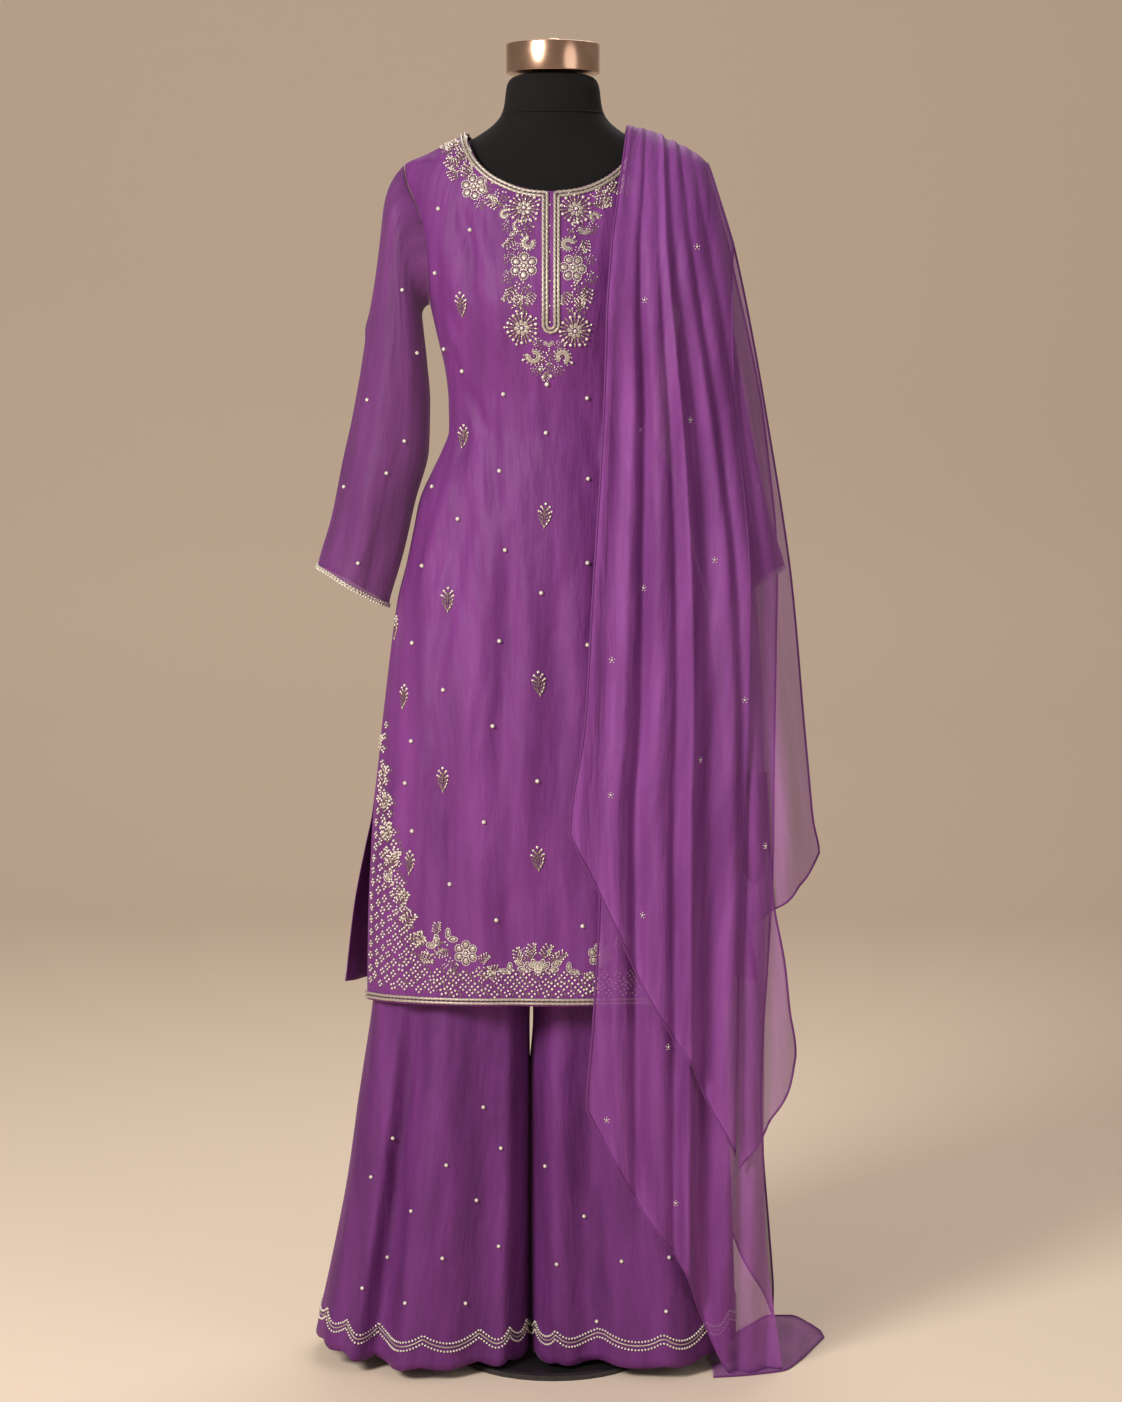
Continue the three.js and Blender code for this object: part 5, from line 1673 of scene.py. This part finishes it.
for row in (205, 226, 252, 281, 306, 322):
    sew_seen(front_work, front_surface, 550, row, [bead(2.2)])

BUTTI_PLACES = [
    (418, 258), (461, 305), (464, 437), (545, 516), (448, 600), (539, 684), (443, 780), (538, 859),
    (396, 628), (404, 697), (410, 863), (628, 520), (636, 690), (640, 850), (655, 600), (668, 780),
]
PEARL_PLACES = [
    (409, 189), (399, 199), (439, 209), (471, 230), (436, 273), (445, 349), (463, 371), (504, 394),
    (546, 433), (587, 398), (500, 471), (588, 479), (433, 487), (458, 519), (505, 550), (587, 563),
    (541, 593), (423, 566), (413, 643), (499, 641), (587, 645), (444, 690), (492, 726), (412, 741),
    (406, 783), (537, 781), (484, 822), (413, 831), (450, 884), (496, 920), (583, 926), (640, 430),
    (668, 520), (628, 600), (672, 690), (610, 750), (690, 850), (640, 930), (690, 600),
]
knotted_pearl = [bead(5.2), *ring("stalk", 3, 2.2, 1.8, 1.1, 200, 40)]
for column, row in BUTTI_PLACES:
    askew = (column * 7 + row) % 13 - 6
    sew_seen(front_work, front_surface, column, row, butti(), askew, 1.08)
for column, row in PEARL_PLACES:
    sew_seen(front_work, front_surface, column, row, knotted_pearl)
for level, height in enumerate(range(1320, 500, -98)):
    for x in range(-130, 131, 65):
        is_sprig = (x // 65 + level) % 2 == 0
        spot = from_side(back_surface, x + (level % 2) * 22, height, 1)
        if spot and abs(x) < 0.9 * tunic_half(height):
            rows = butti() if is_sprig else [bead(5.2)]
            sew(back_work, back_surface, *spot, rows, 0, 1.08)

# The trellis: how far it reaches in from the side edges at each height, its pitch across
# and up, its rows, and the height of the band along the hem
trellis_limit = curve(
    [440, 470, 480, 512, 546, 602, 658, 700, 740], [0, 0, 62, 52, 44, 34, 20, 12, 6]
)
TRELLIS_PITCH, TRELLIS_RISE, TRELLIS_ROWS, TRELLIS_BAND = 14.4, 7, 43, 37
TRELLIS_CELL = [*floret(), ("leaf", 7.2, 0, 90, 5.6, 2.2), ("leaf", 3.6, 3.5, 45, 4.6, 1.8)]
hand = np.random.default_rng(17)
for stitches, surface, side, lowest, width in (
    (front_work, front_surface, -1, 440, 0.985),
    (back_work, back_surface, 1, 448, 0.95),
):
    for level in range(TRELLIS_ROWS):
        height = lowest + 13 + level * TRELLIS_RISE
        edge = tunic_half(height) * width - 1
        for k in range(int(2 * edge / TRELLIS_PITCH) + 1):
            x = -edge + 3 + k * TRELLIS_PITCH + (level % 2) * TRELLIS_PITCH / 2
            in_band = height < lowest + TRELLIS_BAND + 3 * math.sin(x / 17)
            if abs(x) > edge - 1 or not (in_band or edge - abs(x) < trellis_limit(height)):
                continue
            across, up, turn, grown = hand.normal(0, 1, 4)
            spot = from_side(surface, x + TUNIC_LEAN + 0.7 * across, height + 0.7 * up, side)
            if spot:
                sew(stitches, surface, *spot, TRELLIS_CELL, 12 * turn, 1 + 0.07 * grown)

HEM_DESIGNS = [
    (rosette, 466, 953, 0, 0.98),
    (leaf_pair, 436, 946, 25, 0.9),
    (leaf_pair, 448, 939, -60, 0.85),
    (spray, 437, 934, 10, 0.6),
    (spray, 424, 945, 40, 0.7),
    (spray, 448, 950, 130, 0.6),
    (filling, 438, 946, 0, 0.8),
    (filling, 450, 966, 0, 0.7),
    (filling, 428, 958, 0, 0.7),
    (spray, 480, 962, -40, 0.6),
    (spray, 488, 972, -60, 0.6),
    (filling, 484, 972, 0, 0.7),
    (lotus, 538, 972, 0, 0.95),
    (leaf_pair, 509, 972, 20, 0.75),
    (leaf_pair, 569, 972, -62, 0.75),
    (spray, 521, 962, 35, 0.72),
    (spray, 532, 958, 12, 0.72),
    (spray, 544, 958, -12, 0.72),
    (spray, 555, 962, -35, 0.72),
    (spray, 496, 978, 60, 0.5),
    (spray, 584, 978, -60, 0.5),
    (filling, 525, 955, 0, 0.6),
    (filling, 551, 955, 0, 0.6),
    (rosette, 600, 955, 10, 0.95),
    (leaf_pair, 636, 944, -10, 0.95),
    (spray, 622, 950, 10, 0.85),
    (spray, 380, 752, 4, 0.85),
    (spray, 383, 785, 10, 0.95),
    (spray, 384, 812, -8, 1.0),
    (spray, 388, 842, 12, 1.0),
    (spray, 391, 868, -14, 1.0),
    (leaf_pair, 390, 880, 20, 0.85),
    (filling, 382, 800, 0, 0.8),
    (filling, 385, 830, 0, 0.9),
    (filling, 389, 858, 0, 0.9),
    (filling, 396, 890, 0, 0.9),
    (filling, 402, 912, 0, 0.8),
    (spray, 400, 905, -22, 0.9),
    (spray, 405, 926, -28, 0.9),
    (spray, 411, 943, -50, 0.9),
    (spray, 420, 958, -75, 0.75),
]
SIDE_BORDER = 420
for design, column, row, turn, size in HEM_DESIGNS:
    rows = drawn(design, column)
    spot = sew_seen(front_work, front_surface, column, row, rows, turn, size)
    if spot and column < SIDE_BORDER:
        place, _ = spot
        mirrored = from_side(front_surface, 2 * TUNIC_LEAN - place[0], place[2], -1)
        if mirrored:
            sew(front_work, front_surface, *mirrored, rows, turn, size, -1)
for x, design in ((-150, rosette), (-75, leaf_pair), (0, lotus), (75, leaf_pair), (150, rosette)):
    spot = from_side(back_surface, x, 490, 1)
    if spot:
        sew(back_work, back_surface, *spot, design(), 0, 1.0)

front_trims = [neck_cords, hem_cords, *handwork("tunic_front", front_work)]
back_trims = [back_neck_cords, back_hem_cords, *handwork("tunic_back", back_work)]

# The sleeves, the trousers and the scarf carry the same small pearls. Two rows of
# pearls with a fine cord between them run in shallow scallops above each trouser hem.

SLEEVE_PEARLS = [
    (416, 353), (368, 400), (404, 441), (386, 473), (345, 487), (358, 563), (402, 290),
]
sleeve_surfaces = {name: surface_of(grid) for name, (_, grid) in sleeves.items()}
sleeve_work = {name: new_stitches() for name in sleeves}


def sew_row(stitches, surface, line, middle, width):
    """Sews a row of pearls along a line, on the side of the cloth away from its middle."""
    for point in line:
        place, normal, _, _ = surface.find_nearest(Vector(point))
        facing = np.array(normal)
        if facing @ (point - middle) < 0:
            facing = -facing
        ahead = np.cross(facing, [0.2, 0.1, 1.0])
        ahead /= np.linalg.norm(ahead)
        stitches["seed"].append((np.array(place), facing, ahead, width, width))


single_pearl = [bead(4.8)]
right_surface, left_surface = sleeve_surfaces["right_sleeve"], sleeve_surfaces["left_sleeve"]
for column, row in SLEEVE_PEARLS:
    spot = sew_seen(sleeve_work["right_sleeve"], right_surface, column, row, single_pearl)
    if spot:
        place, _ = spot
        other = from_side(left_surface, 2 * TUNIC_LEAN - place[0], place[2], -1)
        if other:
            sew(sleeve_work["left_sleeve"], left_surface, *other, single_pearl)
for name, surface in sleeve_surfaces.items():
    grid = sleeves[name][1]
    for back, gap, width in ((0.1, 3.9, 3.2), (1.2, 5.2, 2.4), (2.7, 4.2, 2.6)):
        line = band_line(grid, len(grid) - 1 - back, 0.2, gap, True)[:-1]
        sew_row(sleeve_work[name], surface, line, grid[-1].mean(0), width)
sleeve_trims = {
    name: [cuff_cords[name], *handwork(name, stitches)] for name, stitches in sleeve_work.items()
}

# How far each row stands above the hem, its step and its pearls' width, or 0 for the cord
SCALLOP_LINES = [(34, 3.9, 3.0), (43.5, 3.9, 3.0), (38.8, 1.7, 0)]
SCALLOP_CORD = {"radius": 0.9, "sides": 5, "twist": 0.9, "relief": 0.15}
leg_surfaces = {key: surface_of(grid) for key, (_, grid) in trousers.items()}
leg_work = {key: new_stitches() for key in trousers}
leg_trims = {}
for (side, face), (_, grid) in trousers.items():
    columns = grid.shape[1]
    u = np.linspace(0, 1, columns)
    from_outer = 1 - u if side * face < 0 else u
    arc = 7 * (1 - np.abs(np.sin(np.pi * SCALLOPS[side] * from_outer)) ** 0.8)
    surface, leg_cords = leg_surfaces[side, face], []
    behind = grid[-1].mean(0) - [0, 40 * face, 0]
    for above, gap, width in SCALLOP_LINES:
        line = []
        for j in range(columns):
            column = grid[:, j]
            height = above + arc[j] + (column[-1, 2] - 12) * 0.9
            line.append([np.interp(-height, -column[:, 2], column[:, k]) for k in range(3)])
        line = evenly(line, gap)
        if width:
            sew_row(leg_work[side, face], surface, line, behind, width)
        else:
            spots, _ = laid_on(surface, line, 0.4)
            leg_cords.append(rope(spots, **SCALLOP_CORD))
    cord_name = PANEL_NAMES[side, face] + "_scallop_cord"
    leg_trims[side, face] = [joined(cord_name, leg_cords, ivory_thread)]

TROUSER_PEARLS = [
    (483, 1107), (392, 1138), (501, 1148), (446, 1165), (372, 1177), (476, 1200), (412, 1211),
    (499, 1246), (388, 1257), (442, 1258), (363, 1288), (406, 1303), (465, 1303), (530, 1101),
    (546, 1166), (584, 1216), (622, 1261), (557, 1264), (669, 1257), (666, 1311), (597, 1321),
]
LEGS_MEET_AT = 528
for column, row in TROUSER_PEARLS:
    key = (-1, -1) if column < LEGS_MEET_AT else (1, -1)
    sew_seen(leg_work[key], leg_surfaces[key], column, row, single_pearl)
for level, height in enumerate(range(380, 60, -52)):
    for x in (-210, -150, -90, 60, 120, 180):
        key = (-1, 1) if x < 0 else (1, 1)
        spot = from_side(leg_surfaces[key], x + (level % 2) * 26, height, 1)
        if spot:
            sew(leg_work[key], leg_surfaces[key], *spot, single_pearl)
for key, stitches in leg_work.items():
    leg_trims[key] += handwork(PANEL_NAMES[key], stitches)

SCARF_SPRIGS = [
    (612, 660), (644, 588), (611, 795), (765, 846), (643, 915), (668, 1047), (607, 1120),
    (676, 1203), (697, 247), (645, 300), (690, 420), (715, 560), (700, 760), (745, 700),
]
scarf_surfaces = {key: surface_of(grid) for key, (_, grid) in scarf_pieces.items()}
scarf_work = new_stitches()
sprig = [bead(2.8)] + ring("seed", 5, 3.0, 1.6, 1.6, 18)
for column, row in SCARF_SPRIGS:
    for key in ("outer", "side", "lower"):
        spot = seen(scarf_surfaces[key], column, row)
        if spot and spot[0][1] < 0:
            sew(scarf_work, scarf_surfaces[key], *spot, sprig)
            break
for level, height in enumerate(range(1230, 420, -120)):
    for x in (90, 165, 235):
        spot = from_side(scarf_surfaces["outer"], x - (level % 2) * 36, height, 1)
        if spot:
            sew(scarf_work, scarf_surfaces["outer"], *spot, sprig)
scarf_trims = [scarf_hems, *handwork("scarf", scarf_work)]

# The cuts: what each stretch of the scarf was cut to, flat, its area, the sheets it lies
# on and its trims, in a table that the loops below only read. The tunic and the
# trousers are panels, a sleeve is one piece sewn into a tube, and the stretches of
# the scarf are parts of one long rectangle.

for name, (piece, _) in sleeves.items():
    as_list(sleeve_trims[name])
for key, cut, area, carriers, trims in [
    ("outer", (0.32, 2.2), 0.52, ["tunic_front_panel", "tunic_back_panel"], scarf_trims),
    ("side", (0.14, 0.88), 0.1, ["tunic_front_panel", "left_sleeve_cloth"], []),
    ("lower", (0.27, 1.42), 0.28, ["tunic_front_panel", "trouser_left_front_cloth"], []),
    ("cascade", (0.08, 0.44), 0.026, ["scarf_side_fall"], []),
    ("tail", (0.16, 0.2), 0.022, ["studio_floor"], []),
]:
    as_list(carriers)
    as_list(trims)
